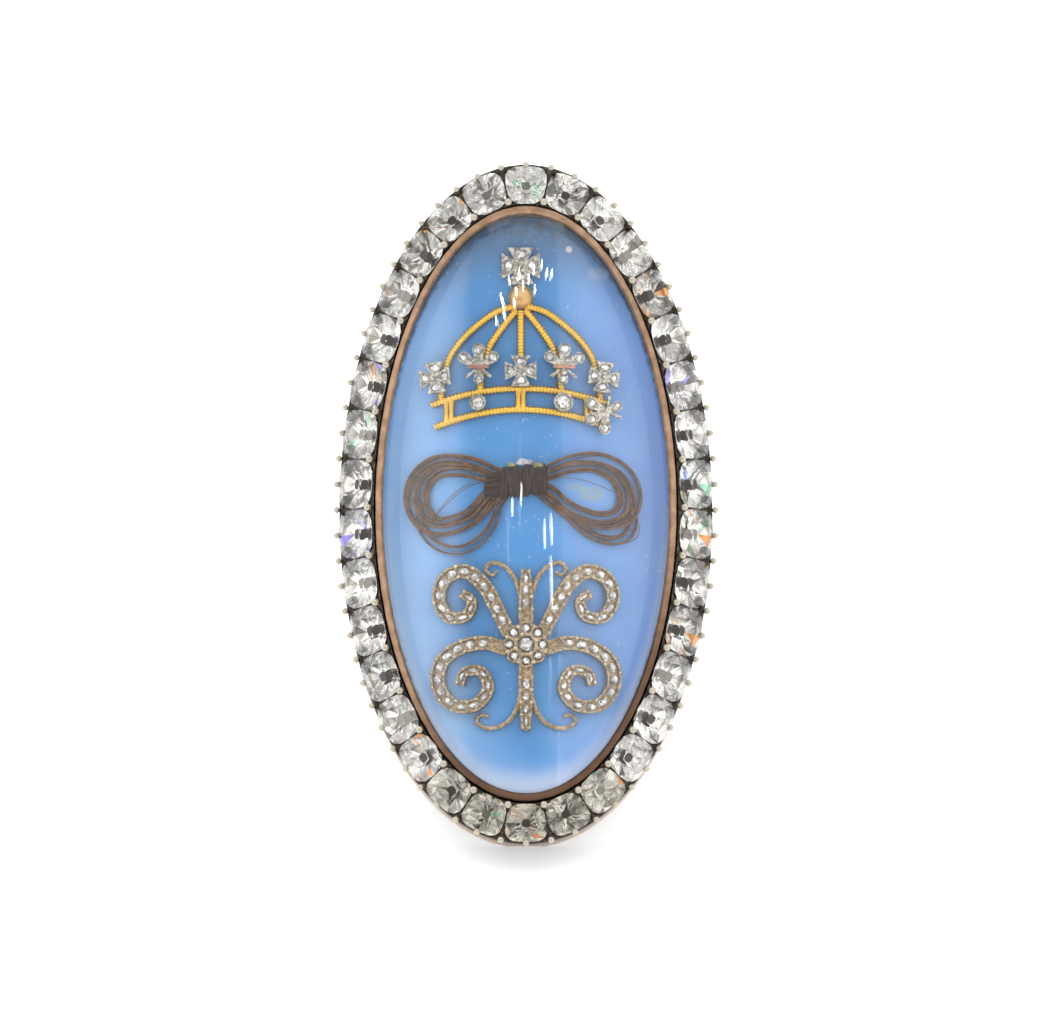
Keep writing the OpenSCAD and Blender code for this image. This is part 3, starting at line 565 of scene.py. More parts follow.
def oval_lens(rings, top, bottom):
    """A closed oval plate inside the rim, its two faces set by height functions of x and y."""
    start_piece()
    bpy.ops.mesh.primitive_circle_add(vertices=OVAL_SIDES, radius=1)
    obj = bpy.context.object
    bpy.ops.object.mode_set(mode="EDIT")
    bpy.ops.transform.resize(value=(GLASS_X, GLASS_Y, 1))
    close_disc(rings)
    bpy.ops.mesh.select_all(action="DESELECT")
    bpy.ops.mesh.select_non_manifold()
    extrude_ring(1, 1, -1)
    close_disc(rings)
    outward_normals()
    bpy.ops.object.mode_set(mode="OBJECT")
    for v in obj.data.vertices:
        v.co.z = (bottom if v.co.z < -0.5 else top)(v.co.x, v.co.y)
    return obj


def close_disc(rings):
    """Fills the selected loop with rings that shrink to its middle."""
    for k in range(rings, 1, -1):
        extrude_ring((k - 1) / k, (k - 1) / k, 0)
    bpy.ops.mesh.extrude_region_move()
    bpy.ops.mesh.merge(type="CENTER")


def outward_normals():
    bpy.ops.mesh.select_all(action="SELECT")
    bpy.ops.mesh.remove_doubles(threshold=0.0001)
    bpy.ops.mesh.normals_make_consistent(inside=False)


def smooth_shade(obj, angle=35):
    start_piece()
    obj.select_set(True)
    bpy.context.view_layer.objects.active = obj
    bpy.ops.object.shade_smooth_by_angle(angle=math.radians(angle))


# Crystal, its rim and the blue ground

OUTER_ROUND, OUTER_DROP, INNER_ROUND = 0.05, 0.06, 0.12
LEDGE_W, LEDGE_T = 0.5, 0.4
ground_top = GROUND_R - CURVE_R
rim_floor = ground_top - GROUND_T - GAP
crystal_rim = oval_ring([
    (RIM_D, rim_floor),
    (RIM_D, RIM_RISE - OUTER_DROP),
    (RIM_D + OUTER_ROUND, RIM_RISE),
    (RIM_D + RIM_W - INNER_ROUND, RIM_RISE),
    (RIM_D + RIM_W, RIM_RISE - INNER_ROUND),
    (RIM_D + RIM_W, rim_floor + LEDGE_T),
    (RIM_D + RIM_W + LEDGE_W, rim_floor),
])
smooth_shade(crystal_rim, 50)
place_piece(crystal_rim, "rose_gold_rim", rose_gold, ["crystal_rim"])

LENS_RINGS = 28
ground = oval_lens(
    LENS_RINGS,
    lambda x, y: on_curve(x, ground_top),
    lambda x, y: on_curve(x, ground_top - GROUND_T),
)
smooth_shade(ground)
place_piece(ground, "opal_ground", blue_glass, ["blue_ground"])

crystal = oval_lens(LENS_RINGS, on_dome, lambda x, y: on_dome(x, y, CRYSTAL_T))
smooth_shade(crystal)
place_piece(crystal, "domed_crystal", rock_crystal, ["crystal"])
crystal.visible_shadow = False
crystal.visible_diffuse = False


# Lines drawn on the ground


def curve_value(u, a, b, c, d):
    """Value a share u of the way from b to c, on the smooth curve through a, b, c and d."""
    bend = (2 * a - 5 * b + 4 * c - d) * u**2
    twist = (3 * b - a - 3 * c + d) * u**3
    return 0.5 * (2 * b + (c - a) * u + bend + twist)


def smooth_path(rows, steps):
    """Points on a smooth line through the rows."""
    points = []
    last = len(rows) - 1
    for i in range(last):
        near = [rows[max(i - 1, 0)], rows[i], rows[i + 1], rows[min(i + 2, last)]]
        for j in range(steps):
            u = j / steps
            points.append([curve_value(u, *values) for values in zip(*near)])
    return points + [list(rows[last])]


def even_path(points, step):
    """The same line in even steps, and the distance gone at each of its points."""
    out, gone, left = [list(points[0])], [0.0], step
    for a, b in zip(points, points[1:]):
        length = math.dist(a[:2], b[:2])
        at = left
        while at <= length:
            out.append([p + (q - p) * at / length for p, q in zip(a, b)])
            gone.append(gone[-1] + step)
            at += step
        left = at - length
    return out, gone


def round_wires(name, paths, radius, resolution=2):
    """Wires as one mesh. A path's rows are points and their share of the radius; a path may
    name its material."""
    data = bpy.data.curves.new(name, "CURVE")
    data.dimensions = "3D"
    data.bevel_depth = radius
    data.bevel_resolution = resolution
    data.use_fill_caps = True
    for path, tone, closed in paths:
        spline = data.splines.new("POLY")
        spline.points.add(len(path) - 1)
        spline.material_index = tone
        spline.use_cyclic_u = closed
        for point, (place, share) in zip(spline.points, path):
            point.co = (*place, 1)
            point.radius = share
    obj = bpy.data.objects.new(name, data)
    bpy.context.scene.collection.objects.link(obj)
    start_piece()
    obj.select_set(True)
    bpy.context.view_layer.objects.active = obj
    bpy.ops.object.convert(target="MESH")
    obj = bpy.context.object
    bpy.ops.object.shade_smooth()
    return obj


def join_pieces(objects):
    start_piece()
    for obj in objects:
        obj.select_set(True)
    bpy.context.view_layer.objects.active = objects[0]
    bpy.ops.object.join()
    return objects[0]


def seat_matrix(x, y, h):
    """Where a piece modelled flat goes on the curved ground."""
    lean_out = Matrix.Rotation(math.asin(x / GROUND_R), 4, "Y")
    up = Matrix.Translation((0, y, GROUND_R + h))
    return Matrix.Translation((0, 0, -CURVE_R)) @ lean_out @ up


# Border stones, set round the head by the way gone along its oval

STONE_COUNT = 34
STONE_W = 2.02
STONE_GAP = 0.16
SIDE_GROWTH = 1.2
STONE_FAN = 0.85
STONE_SHIFT = 0.9
STONE_LIFT = 0.05
WIDE_SWELL = 1.09
LONG_SWELL = 1.055
MOST_SKEW = 1.0
CLAW_ROOM = 0.21
STONE_D = CLAW_ROOM + GAP + STONE_W / 2
ring_x, ring_y = across(STONE_D), along(STONE_D)


def pace(degrees):
    """Way along the oval for each degree, counted shorter at the sides, where stones are longer."""
    t = math.radians(degrees)
    growth = 1 + (SIDE_GROWTH - 1) * math.sin(t) ** 2
    return math.hypot(ring_x * math.cos(t), ring_y * math.sin(t)) / growth


way_gone = [0.0]
for degree in range(360):
    way_gone.append(way_gone[-1] + pace(degree + 0.5))


def stone_angle(k):
    """Angle round the head of place k along the border, in radians."""
    goal = way_gone[-1] * (k % STONE_COUNT) / STONE_COUNT
    i = max(n for n in range(360) if way_gone[n] <= goal)
    return math.radians(i + (goal - way_gone[i]) / (way_gone[i + 1] - way_gone[i]))


def square_angle(k, d):
    """Angle of the point at depth d that lies squarely across the border from place k."""
    t = stone_angle(k)
    turn = (STONE_D - d) * (TIP_SHARE * ring_y - ring_x) * math.sin(t) * math.cos(t)
    return t + turn / ((ring_y * math.sin(t)) ** 2 + (ring_x * math.cos(t)) ** 2)


def head_point(t, d):
    x = across(d) * math.sin(t)
    return Vector((x, along(d) * math.cos(t), on_curve(x, 0)))


def stone_room(k, d):
    """Length of border that stone k has at depth d."""
    ends = [head_point(square_angle(k + half, d), d) for half in (-0.5, 0.5)]
    return (ends[1] - ends[0]).length


def squeeze(t):
    """Share of its full width that the border has at angle t."""
    ends = Vector((along(0) * math.sin(t), across(0) * math.cos(t)))
    return (along(0) * math.sin(t) ** 2 + TIP_SHARE * across(0) * math.cos(t) ** 2) / ends.length


def on_head(t, d):
    """A place on the border, with X along it and Z out of it."""
    point = head_point(t, d)
    a = math.asin(point.x / CURVE_R)
    outward = Vector((math.sin(a), 0, math.cos(a)))
    along_way = Vector((across(d) * math.cos(t), -along(d) * math.sin(t), 0))
    along_way.z = -along_way.x * math.tan(a)
    tangent = along_way.normalized()
    side = outward.cross(tangent)
    turned = Matrix((tangent, side, outward)).transposed().to_4x4()
    return Matrix.Translation(point) @ turned


CUSHION_POWER = 3.1
BACK_LEVEL, CULET_LEVEL = -0.05, -0.8
# Rings of an old mine cut: corners, first corner's turn, share of half its width, and height
STONE_RINGS = [
    (8, 0.0, 0.5, 0.40),
    (8, 22.5, 0.78, 0.22),
    (16, 0.0, 1.0, 0.025),
    (16, 0.0, 1.0, -0.025),
    (8, 22.5, 0.66, -0.42),
    (8, 0.0, 0.22, -0.82),
]

start_piece()
corners, _, share, level = STONE_RINGS[0]
bpy.ops.mesh.primitive_circle_add(vertices=corners, radius=share, location=(0, 0, level))
model_stone = bpy.context.object
bpy.ops.object.transform_apply()
bpy.ops.object.mode_set(mode="EDIT")
for corners, turn, share, level in STONE_RINGS[1:]:
    bpy.ops.mesh.primitive_circle_add(
        vertices=corners, radius=share, location=(0, 0, level), rotation=(0, 0, math.radians(turn))
    )
bpy.ops.mesh.select_all(action="SELECT")
bpy.ops.mesh.convex_hull(join_triangles=False)
bpy.ops.mesh.select_all(action="SELECT")
bpy.ops.mesh.normals_make_consistent(inside=False)
bpy.ops.object.mode_set(mode="OBJECT")


def signed_power(value, power):
    return math.copysign(abs(value) ** power, value)


def cushion(v):
    """Moves a point of the round model stone out towards a rounded square's side."""
    r = math.hypot(v.co.x, v.co.y)
    a = math.atan2(v.co.y, v.co.x)
    for axis, part in ((0, math.cos(a)), (1, math.sin(a))):
        v.co[axis] = r * signed_power(part, 2 / CUSHION_POWER)


for v in model_stone.data.vertices:
    cushion(v)

# How often each tone of painted reflection comes in the facets at the back, and the finishes of the
# culets, which are painted dark
TONE_WEIGHTS = (67, 22, 8, 1.4, 0.9, 0.7, 0.3)
stone_finishes = [diamond] + facet_tones
SOFT_CULET, DARK_CULET = 3, 4
draws = random.Random(29)
for k in range(STONE_COUNT):
    stone = model_stone.copy()
    stone.data = model_stone.data.copy()
    bpy.context.scene.collection.objects.link(stone)
    t = stone_angle(k)
    narrow = squeeze(t)
    wide = STONE_W * narrow * WIDE_SWELL
    long = (stone_room(k, STONE_D) - STONE_GAP) * LONG_SWELL
    outer, inner = (stone_room(k, STONE_D + side * STONE_W / 2) for side in (-1, 1))
    taper = STONE_FAN * (outer - inner) / (outer + inner)
    for v in stone.data.vertices:
        v.co.x *= (1 + taper * v.co.y) * long / 2
        v.co.y *= wide / 2
    skew = Matrix.Rotation(math.radians(MOST_SKEW * math.sin(math.radians(137 * k))), 4, "Z")
    seat = on_head(t, STONE_D + STONE_SHIFT * (1 - narrow))
    stone.data.transform(seat @ skew @ Matrix.Translation((0, 0, STONE_LIFT)))
    name = f"stone_{k + 1:02d}"
    for finish in stone_finishes:
        stone.data.materials.append(finish)
    for face, model_face in zip(stone.data.polygons, model_stone.data.polygons):
        if model_face.center.z < CULET_LEVEL:
            face.material_index = DARK_CULET if k % 3 else SOFT_CULET
        elif model_face.center.z < BACK_LEVEL:
            face.material_index = 1 + draws.choices(range(len(facet_tones)), TONE_WEIGHTS)[0]
    place_piece(stone, f"cut_{name}", None, [name])
bpy.data.objects.remove(model_stone)


# Crown of ridged gold wire

CROWN_X, CROWN_Y = -0.26, 5.0
CROWN_W, CROWN_H = 8.9, 7.7
WIRE_R = 0.2
RIDGE, RIDGE_STEPS = 0.18, 6
GROOVE_SHARE, CREST_SHARE = 0.76, 0.28
POST_SHARE, POST_WAIST, POST_STEPS = 0.98, 0.3, 8
POSTS, POST_SPLIT = (-0.405, 0, 0.385), 0.014
LOWER_HALF, UPPER_HALF, BAR_STEPS = 0.48, 0.5, 8
ORB_R, ORB_V = 0.66, 0.77
# Arches, as shares of the crown's width and height
OUTER_ARCH = [
    (0.02, 0.70), (0.06, 0.70), (0.13, 0.675), (0.205, 0.618), (0.286, 0.538), (0.35, 0.456),
    (0.405, 0.35), (0.44, 0.2), (0.45, 0.08),
]
INNER_ARCH = [(0.025, 0.68), (0.08, 0.60), (0.135, 0.51), (0.18, 0.42), (0.215, 0.28), (0.23, 0.13)]


def lower_bar(u):
    return -0.47 * u * u


def upper_bar(u):
    return 0.145 - 0.4 * u * u


def in_crown(u, v):
    return CROWN_X + u * CROWN_W, CROWN_Y + v * CROWN_H


def ridged_wire(shares):
    line = smooth_path([in_crown(u, v) for u, v in shares], 12)
    points, gone = even_path(line, RIDGE / RIDGE_STEPS)
    rows = []
    for (x, y), s in zip(points, gone):
        crest = abs(math.cos(math.pi * s / RIDGE)) ** 0.8
        rows.append((on_ground(x, y, GAP + WIRE_R), GROOVE_SHARE + CREST_SHARE * crest))
    return rows, 0, False


def waisted_wire(u, foot, head):
    rows = []
    for k in range(POST_STEPS + 1):
        way = k / POST_STEPS
        x, y = in_crown(u, foot + way * (head - foot))
        rows.append((on_ground(x, y, GAP + WIRE_R), POST_SHARE - POST_WAIST * math.sin(math.pi * way)))
    return rows, 0, False


def bar_wire(half, height):
    across_bar = [half * i / BAR_STEPS for i in range(-BAR_STEPS, BAR_STEPS + 1)]
    return ridged_wire([(u, height(u)) for u in across_bar])


bars = [bar_wire(LOWER_HALF, lower_bar), bar_wire(UPPER_HALF, upper_bar)]
for u in POSTS:
    for side in (-1, 1):
        bars.append(waisted_wire(u + side * POST_SPLIT, lower_bar(u), upper_bar(u)))
for side in (-1, 1):
    bars.append(ridged_wire([(side * u, v) for u, v in OUTER_ARCH]))
    bars.append(ridged_wire([(side * u, v) for u, v in INNER_ARCH]))
bars.append(ridged_wire([(0, 0.14), (0, 0.4), (0, 0.68)]))
crown = round_wires("crown_wires", bars, WIRE_R)

start_piece()
bpy.ops.mesh.primitive_uv_sphere_add(segments=40, ring_count=24, radius=ORB_R, location=(0, 0, WIRE_R))
orb = bpy.context.object
bpy.ops.object.transform_apply()
bpy.ops.object.mode_set(mode="EDIT")
bpy.ops.mesh.select_all(action="SELECT")
bpy.ops.mesh.bisect(plane_co=(0, 0, GAP), plane_no=(0, 0, 1), use_fill=True, clear_inner=True)
bpy.ops.object.mode_set(mode="OBJECT")
smooth_shade(orb, 40)
orb.data.transform(seat_matrix(*in_crown(0, ORB_V), 0))
crown = join_pieces([crown, orb])
place_piece(crown, "crown_of_gold_wire", yellow_gold, ["crown_frame"])


# Bow of hair

BOW_X, BOW_Y = -0.1, 0.1
BOW_W, BOW_H = 11.3, 5.0
HAIR_R, HAIR_T = 0.034, 0.288
# Bundles: strands, locks, width, lift, and how far some of the locks cut the loop's corners
LOOP_BUNDLE = (46, 7, 1.044, 0.0, 0.26)
DROP_BUNDLE = (18, 3, 0.396, 0.1, 0.12)
# Loops and drops of the bow, as shares of its width and height
LEFT_LOOP = [
    (-0.06, 0.25), (-0.14, 0.28), (-0.25, 0.375), (-0.39, 0.39), (-0.47, 0.23), (-0.485, 0.0),
    (-0.44, -0.19), (-0.36, -0.25), (-0.24, -0.15), (-0.145, 0.10), (-0.06, 0.2),
]
LEFT_DROP = [
    (-0.485, 0.1), (-0.47, -0.02), (-0.455, -0.26), (-0.39, -0.43), (-0.30, -0.49), (-0.21, -0.41),
    (-0.14, -0.22), (-0.11, -0.02), (-0.05, 0.14),
]
RIGHT_LOOP = [
    (0.04, 0.26), (0.108, 0.31), (0.2, 0.4), (0.31, 0.435), (0.4, 0.37), (0.455, 0.24), (0.475, 0.05),
    (0.44, -0.13), (0.33, -0.18), (0.2, -0.06), (0.115, 0.12), (0.04, 0.2),
]
RIGHT_DROP = [
    (0.04, 0.14), (0.1, 0.04), (0.19, -0.12), (0.27, -0.29), (0.36, -0.38), (0.44, -0.36),
    (0.48, -0.24), (0.485, -0.1), (0.478, 0.08),
]
# Places of the hair's tones in hair_tones, and the share of a bundle's width its locks fill
BROWN, DARK, LIGHT = 0, 1, 2
LOCKS_REACH = 0.92


def hair_loop(shares, bundle, draws):
    """Loose strands that follow one loop in separate locks."""
    strands, locks, width, lift, pull = bundle
    loop = smooth_path([(BOW_X + u * BOW_W, BOW_Y + v * BOW_H) for u, v in shares], 7)
    last = len(loop) - 1
    middle = [sum(p[k] for p in loop) / len(loop) for k in (0, 1)]
    sets = []
    for i in range(locks):
        side = LOCKS_REACH * (2 * i / (locks - 1) - 1)
        inner = pull * draws.uniform(0.5, 1.0) if i % 3 == 1 else 0.0
        spread = draws.uniform(0.04, 0.11)
        start, sway = draws.uniform(0, 2 * math.pi), draws.uniform(0.05, 0.3)
        sets.append((side, inner, start, sway, spread))
    crowds = [draws.uniform(0.5, 2.0) for _ in sets]
    made = []
    for _ in range(strands):
        side, inner, turn, sway, spread = draws.choices(sets, crowds)[0]
        side += draws.gauss(0, spread)
        height = draws.random()
        short = inner + draws.uniform(-0.015, 0.02)
        turn += draws.uniform(-0.35, 0.35)
        tone = draws.choice((BROWN, DARK, DARK, LIGHT))
        rows = []
        for i, (x, y) in enumerate(loop):
            s = i / last
            ahead, behind = loop[min(i + 1, last)], loop[max(i - 1, 0)]
            go = Vector((ahead[0] - behind[0], ahead[1] - behind[1])).normalized()
            gather = 0.5 + 0.5 * math.sin(math.pi * s) ** 0.5
            offset = width / 2 * gather * (side + sway * math.sin(turn + 7 * s))
            cut = short * math.sin(math.pi * s)
            px = x + go.y * offset + (middle[0] - x) * cut
            py = y - go.x * offset + (middle[1] - y) * cut
            h = GAP + HAIR_R + HAIR_T * (lift + height * gather)
            share = 1.0 if 0 < i < last else 0.5
            rows.append((on_ground(px, py, h), share))
        made.append((rows, tone, False))
    return made


# Fine stray hairs: points in the photograph. The crystal widens what lies under it, so what is
# read there is drawn in by STRAY_SHRINK.
STRAY_SHRINK = 0.955
STRAY_SHARE = 0.6
STRAYS = {
    "bow_left": [
        [(487, 472), (462, 457), (436, 453), (416, 466), (411, 480)],
        [(488, 476), (466, 461), (440, 457), (420, 468), (409, 486)],
        [(480, 506), (470, 520), (452, 531), (430, 530), (414, 514)],
        [(488, 474), (470, 480), (452, 492), (438, 508), (430, 520)],
        [(488, 477), (466, 484), (446, 500), (434, 514)],
    ],
    "bow_right": [
        [(546, 470), (570, 458), (600, 452), (626, 462), (640, 484), (642, 502)],
        [(548, 494), (566, 512), (590, 530), (616, 540), (636, 534), (640, 520)],
        [(546, 476), (576, 476), (604, 484), (628, 496)],
    ],
}


def stray_hairs(lines, draws):
    made = []
    for line in lines:
        flat = smooth_path([from_photo(px, py) for px, py in line], 8)
        h = GAP + draws.uniform(0.1, 0.3)
        rows = [(on_ground(x * STRAY_SHRINK, y, h), STRAY_SHARE) for x, y in flat]
        made.append((rows, DARK, False))
    return made


draws = random.Random(7)
for name, node, loop, drop in (
    ("hair_left", "bow_left", LEFT_LOOP, LEFT_DROP),
    ("hair_right", "bow_right", RIGHT_LOOP, RIGHT_DROP),
):
    strands = hair_loop(loop, LOOP_BUNDLE, draws)
    strands += hair_loop(drop, DROP_BUNDLE, draws)
    strands += stray_hairs(STRAYS[node], draws)
    hair = round_wires(name, strands, HAIR_R, 1)
    for tone in hair_tones:
        hair.data.materials.append(tone)
    place_piece(hair, name, None, [node])

# Tie: turns of hair wound round the middle of the bow, and the hairs that run through them
TIE_X, TIE_Y, TIE_TILT = -0.12, 1.25, 0.1
TURN_R, TURN_COUNT, TURN_STEP, TURN_SIDES = 0.12, 13, 0.168, 28
TURN_HALF, TURN_RISE, TURN_POWER = 0.72, 0.2, 0.8
CORE_HAIRS, CORE_HALF, CORE_RISE, CORE_SHARE, CORE_STEPS = 60, 0.62, 0.3, 0.55, 8
CORE_RIGHT = 1.2
turns = []
for i in range(TURN_COUNT):
    x = TIE_X + (i - (TURN_COUNT - 1) / 2) * TURN_STEP
    half = TURN_HALF + 0.05 * math.sin(i * 2.1)
    lean_over = draws.uniform(-0.07, 0.07)
    ring = []
    for k in range(TURN_SIDES):
        a = 2 * math.pi * k / TURN_SIDES
        y = TIE_Y + TIE_TILT * (x - TIE_X) + half * signed_power(math.cos(a), TURN_POWER)
        h = GAP + TURN_R + TURN_RISE * (1 + signed_power(math.sin(a), TURN_POWER))
        place = on_ground(x + lean_over * math.cos(a), y, h)
        ring.append((place, 1 + 0.06 * math.sin(5 * a + i)))
    turns.append((ring, 0, True))
for i in range(CORE_HAIRS):
    side, height = draws.uniform(-1, 1), draws.uniform(0.1, 1)
    reach = draws.uniform(1.75, 1.98)
    rows = []
    for k in range(CORE_STEPS + 1):
        x = TIE_X - reach + (reach + CORE_RIGHT) * k / CORE_STEPS
        y = TIE_Y + TIE_TILT * (x - TIE_X) + side * CORE_HALF + 0.05 * math.sin(3 * x + i)
        rows.append((on_ground(x, y, GAP + 0.05 + CORE_RISE * height), CORE_SHARE))
    turns.append((rows, 1, False))
tie = round_wires("tie", turns, TURN_R, 2)
for finish in (tie_hair, hair_tones[BROWN]):
    tie.data.materials.append(finish)
place_piece(tie, "hair_tie", None, ["bow_tie"])

# Old glue on the tie: places in the photograph, half sizes in millimetres and finishes
GLUE_T, GLUE_LEVEL, LUMPS = 0.11, 0.5, 0.22
GLUE = [
    ((524, 460), (0.42, 0.16), 0),
    ((537, 464), (0.3, 0.2), 1),
    ((512, 463), (0.22, 0.12), 1),
]
blobs = []
for (px, py), (wide, tall), tone in GLUE:
    start_piece()
    bpy.ops.mesh.primitive_ico_sphere_add(subdivisions=4, radius=1)
    blob = bpy.context.object
    for v in blob.data.vertices:
        lumps = math.sin(5 * v.co.x + 3 * v.co.y + tone) * math.cos(4 * v.co.y + px)
        grown = 1 + LUMPS * lumps
        v.co = Vector((v.co.x * wide * grown, v.co.y * tall * grown, v.co.z * GLUE_T))
    for finish in (old_glue, green_glue):
        blob.data.materials.append(finish)
    for face in blob.data.polygons:
        face.material_index = tone
    blob.data.transform(seat_matrix(*from_photo(px, py), GLUE_LEVEL))
    blobs.append(blob)
glue = join_pieces(blobs)
smooth_shade(glue)
place_piece(glue, "old_glue", None, [])


# Gilt beads between the stones of the flourish

SCROLL_Y, SCROLL_W, SCROLL_H = -7.35, 9.1, 9.0
STROKE_W, STROKE_T = 0.82, 0.4
PAVE_STEP, BARE_ROOT, BARE_TIP = 0.66, 0.38, 0.12
BEAD_R, BEAD_INSET, BEAD_LIFT = 0.105, 0.08, 0.01
ROSETTE_RINGS, ROSETTE_LIFT, ROSETTE_COUNT = (0.56, 1.02), 0.06, 8
PATH_STEP = 0.02
# Strokes of the flourish's right half, as shares of its width and height
SCROLLS = [
    [
        (0.09, 0.06), (0.155, 0.20), (0.225, 0.34), (0.33, 0.43), (0.44, 0.39), (0.475, 0.27),
        (0.42, 0.165), (0.325, 0.17), (0.295, 0.255), (0.355, 0.305),
    ],
    [
        (0.10, -0.03), (0.225, 0.01), (0.36, -0.015), (0.46, -0.10), (0.475, -0.235), (0.40, -0.345),
        (0.275, -0.35), (0.205, -0.255), (0.245, -0.155), (0.335, -0.16), (0.36, -0.235),
    ],
]
LEAVES = [[(0, 0.1), (0, 0.44)], [(0, -0.1), (0, -0.5)]]


def swell(s):
    """Width of a stroke at the share s of its way."""
    return STROKE_W * (0.8 + 0.2 * math.sin(math.pi * s**0.7) - 0.24 * s)


start_piece()
bpy.ops.mesh.primitive_ico_sphere_add(subdivisions=2, radius=BEAD_R)
model_bead = bpy.context.object


def set_bead(x, y, h):
    bead = model_bead.copy()
    bead.data = model_bead.data.copy()
    bpy.context.scene.collection.objects.link(bead)
    bead.data.transform(seat_matrix(x, y, h))
    return bead


beads = []
strokes = [[(side * u, v) for u, v in row] for side in (-1, 1) for row in SCROLLS] + LEAVES
for stroke in strokes:
    line = smooth_path([(u * SCROLL_W, SCROLL_Y + v * SCROLL_H) for u, v in stroke], 12)
    points, gone = even_path(line, PATH_STEP)
    far = gone[-1]
    count = int((far - BARE_ROOT - BARE_TIP) / PAVE_STEP)
    for i in range(count + 1):
        k = min(max(round((far - BARE_TIP - PAVE_STEP * i) / PATH_STEP), 1), len(points) - 2)
        (x, y), (x1, y1), (x0, y0) = points[k], points[k + 1], points[k - 1]
        go = Vector((x1 - x0, y1 - y0)).normalized()
        for side in (-1, 1):
            out = side * (swell(gone[k] / far) / 2 - BEAD_INSET)
            beads.append(set_bead(x + go.y * out, y - go.x * out, GAP + STROKE_T + BEAD_LIFT))
for i in range(ROSETTE_COUNT):
    a = 2 * math.pi * (i + 0.5) / ROSETTE_COUNT
    for out in ROSETTE_RINGS:
        x, y = out * math.cos(a), SCROLL_Y + out * math.sin(a)
        beads.append(set_bead(x, y, GAP + STROKE_T + ROSETTE_LIFT))
bpy.data.objects.remove(model_bead)
flourish_beads = join_pieces(beads)
smooth_shade(flourish_beads, 60)
place_piece(flourish_beads, "flourish_beads", gilt_beads, [])


# Camera at the photograph's angle: a little below square to the face

BELOW_SQUARE = math.radians(6.5)
CAMERA_AWAY = 0.4
SENSOR = 36.0
elevation = math.pi / 2 - LEAN - BELOW_SQUARE
camera_way = Vector((0, -math.cos(elevation), math.sin(elevation)))
camera_up = Vector((0, math.sin(elevation), math.cos(elevation)))

camera_data = bpy.data.cameras.new("photo_camera")
camera = bpy.data.objects.new("photo_camera", camera_data)
bpy.context.scene.collection.objects.link(camera)
bpy.context.scene.camera = camera
camera_data.sensor_width = SENSOR
camera_data.lens = SENSOR * CAMERA_AWAY / (PHOTO_W * PIXEL * MM)
camera_data.clip_start = 0.01
off_x = (PHOTO_W / 2 - PHOTO_MID[0]) * PIXEL * MM
off_y = (PHOTO_MID[1] - PHOTO_H / 2) * PIXEL * MM
aim = head_centre + Vector((off_x, 0, 0)) + camera_up * off_y
camera.location = aim + camera_way * CAMERA_AWAY
camera.rotation_euler = (-camera_way).to_track_quat("-Z", "Y").to_euler()


# Floor and studio light

FLOOR_SIZE = 3
start_piece()
bpy.ops.mesh.primitive_plane_add(size=FLOOR_SIZE)
floor = bpy.context.object
floor.name = "floor"
paper, paper_shader = new_material("white_paper")
paper_shader.inputs["Base Color"].default_value = (0.88, 0.88, 0.875, 1)
paper_shader.inputs["Roughness"].default_value = 0.9
paper_shader.inputs["Emission Color"].default_value = (1, 0.99, 0.98, 1)
paper_shader.inputs["Emission Strength"].default_value = 0.47
floor.data.materials.append(paper)

world = bpy.data.worlds.new("studio")
bpy.context.scene.world = world
world.use_nodes = True
sky = world.node_tree.nodes["Background"]
sky.inputs["Strength"].default_value = 1.1
# Soft boxes on the left, on the right and above, seen only in what mirrors them
path = add(world, "ShaderNodeLightPath")
coords = add(world, "ShaderNodeTexCoord")
way = add(world, "ShaderNodeMapping", Vector=coords.outputs["Generated"], Rotation=(-LEAN, 0, 0))
way_x, way_y, way_z = split_place(world, way.outputs["Vector"])
round_angle = math_node(world, "ARCTAN2", way_x, way_z)
left_box = remap(world, round_angle, -0.62, -0.78, 0.0, 0.75)
right_box = remap(world, round_angle, 0.34, 0.42, 0.0, 0.55)
top_box = remap(world, way_y, 0.45, 0.6, 0.0, 0.6)
ROOM_LIGHT = 0.55
light = plus(world, plus(world, plus(world, left_box, right_box), top_box), ROOM_LIGHT)
wire(world, sky, Color=colour_mix(world, path.outputs["Is Camera Ray"], light, (1, 1, 1, 1)))


def aim_light(obj, target):
    obj.rotation_euler = (target - obj.location).to_track_quat("-Z", "Y").to_euler()


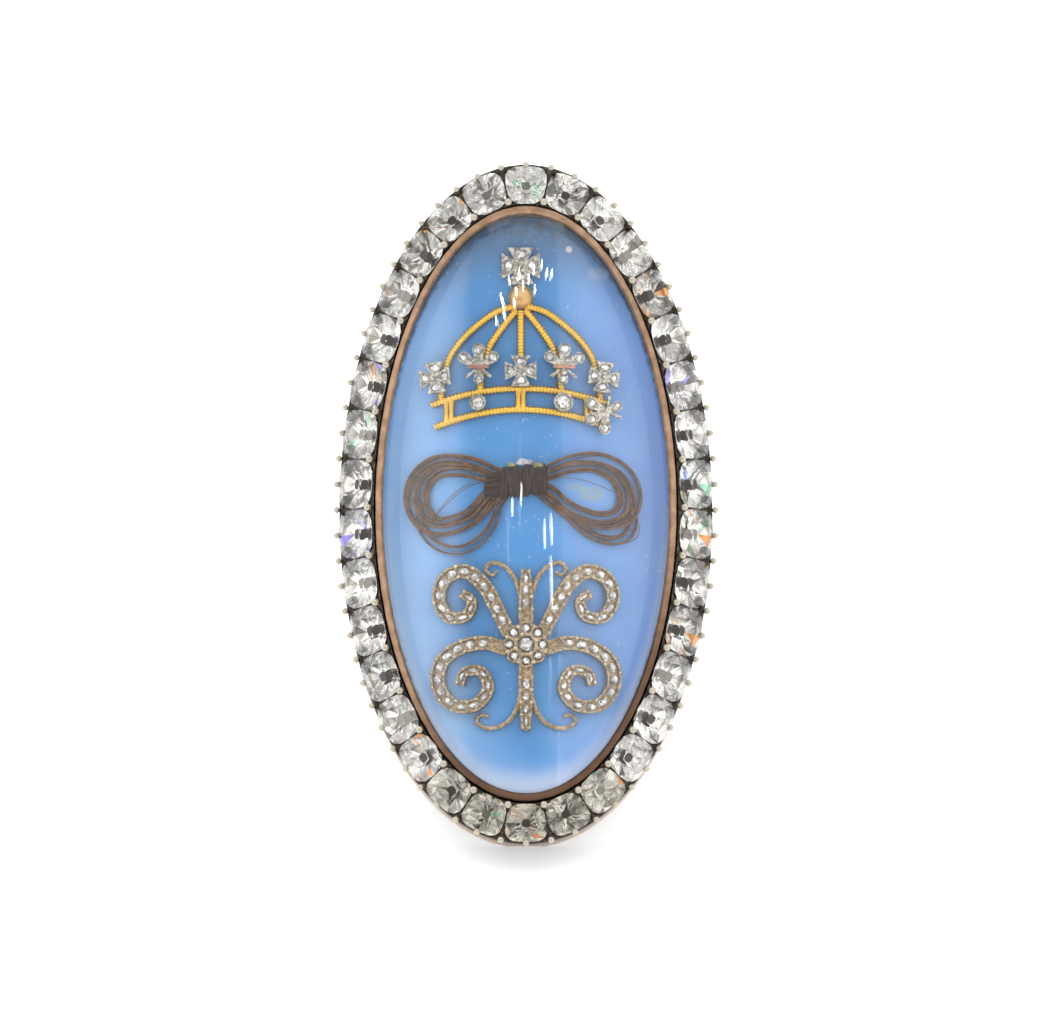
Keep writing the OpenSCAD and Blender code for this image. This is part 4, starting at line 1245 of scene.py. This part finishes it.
def lamp_at_reflection(px, py, wide, tall, strength):
    """A small lamp seen mirrored in the crystal at a pixel of the photograph."""
    x, y = from_photo(px, py)
    slope_x = (on_dome(x + NUDGE, y) - on_dome(x - NUDGE, y)) / (2 * NUDGE)
    slope_y = (on_dome(x, y + NUDGE) - on_dome(x, y - NUDGE)) / (2 * NUDGE)
    normal = (Matrix.Rotation(LEAN, 3, "X") @ Vector((-slope_x, -slope_y, 1))).normalized()
    spot = HEAD_TO_ROW @ Vector((x, y, on_dome(x, y)))
    seen = (camera.location - spot).normalized()
    mirrored = 2 * normal.dot(seen) * normal - seen
    data = bpy.data.lights.new("small_lamp", "AREA")
    data.shape = "ELLIPSE"
    data.size = wide * MM
    data.size_y = tall * MM
    data.energy = strength * math.pi * data.size * data.size_y
    lamp = bpy.data.objects.new("small_lamp", data)
    bpy.context.scene.collection.objects.link(lamp)
    lamp.location = spot + mirrored * LAMP_AWAY
    aim_light(lamp, spot)


NUDGE = 0.01
LAMP_AWAY = 0.25
# Lamps: width, height and strength of one in the cluster; width and strength of a tall one
CLUSTER_LAMP = (6, 3.4, 30)
TALL_LAMP_W, TALL_LAMP_POWER = 5, 14
# Places of their mirror images in the photograph; a tall lamp's height follows its place
TALL_LAMPS = [(512, 509, 7), (521, 496, 8), (552, 531, 12), (545, 536, 12), (552, 585, 20)]
LAMP_CLUSTER = [
    (542, 262), (534, 267), (547, 271), (552, 272), (519, 271), (509, 279), (529, 277), (516, 290),
    (523, 284), (535, 288), (514, 302), (501, 297), (503, 303), (504, 314), (496, 320),
]
for px, py in LAMP_CLUSTER:
    lamp_at_reflection(px, py, *CLUSTER_LAMP)
for px, py, tall in TALL_LAMPS:
    lamp_at_reflection(px, py, TALL_LAMP_W, tall, TALL_LAMP_POWER)

bpy.context.scene.view_settings.view_transform = "Standard"
cycles = bpy.context.scene.cycles
cycles.max_bounces = 10
cycles.transmission_bounces = 8
cycles.glossy_bounces = 6
cycles.caustics_reflective = False
cycles.caustics_refractive = False

bpy.context.view_layer.update()
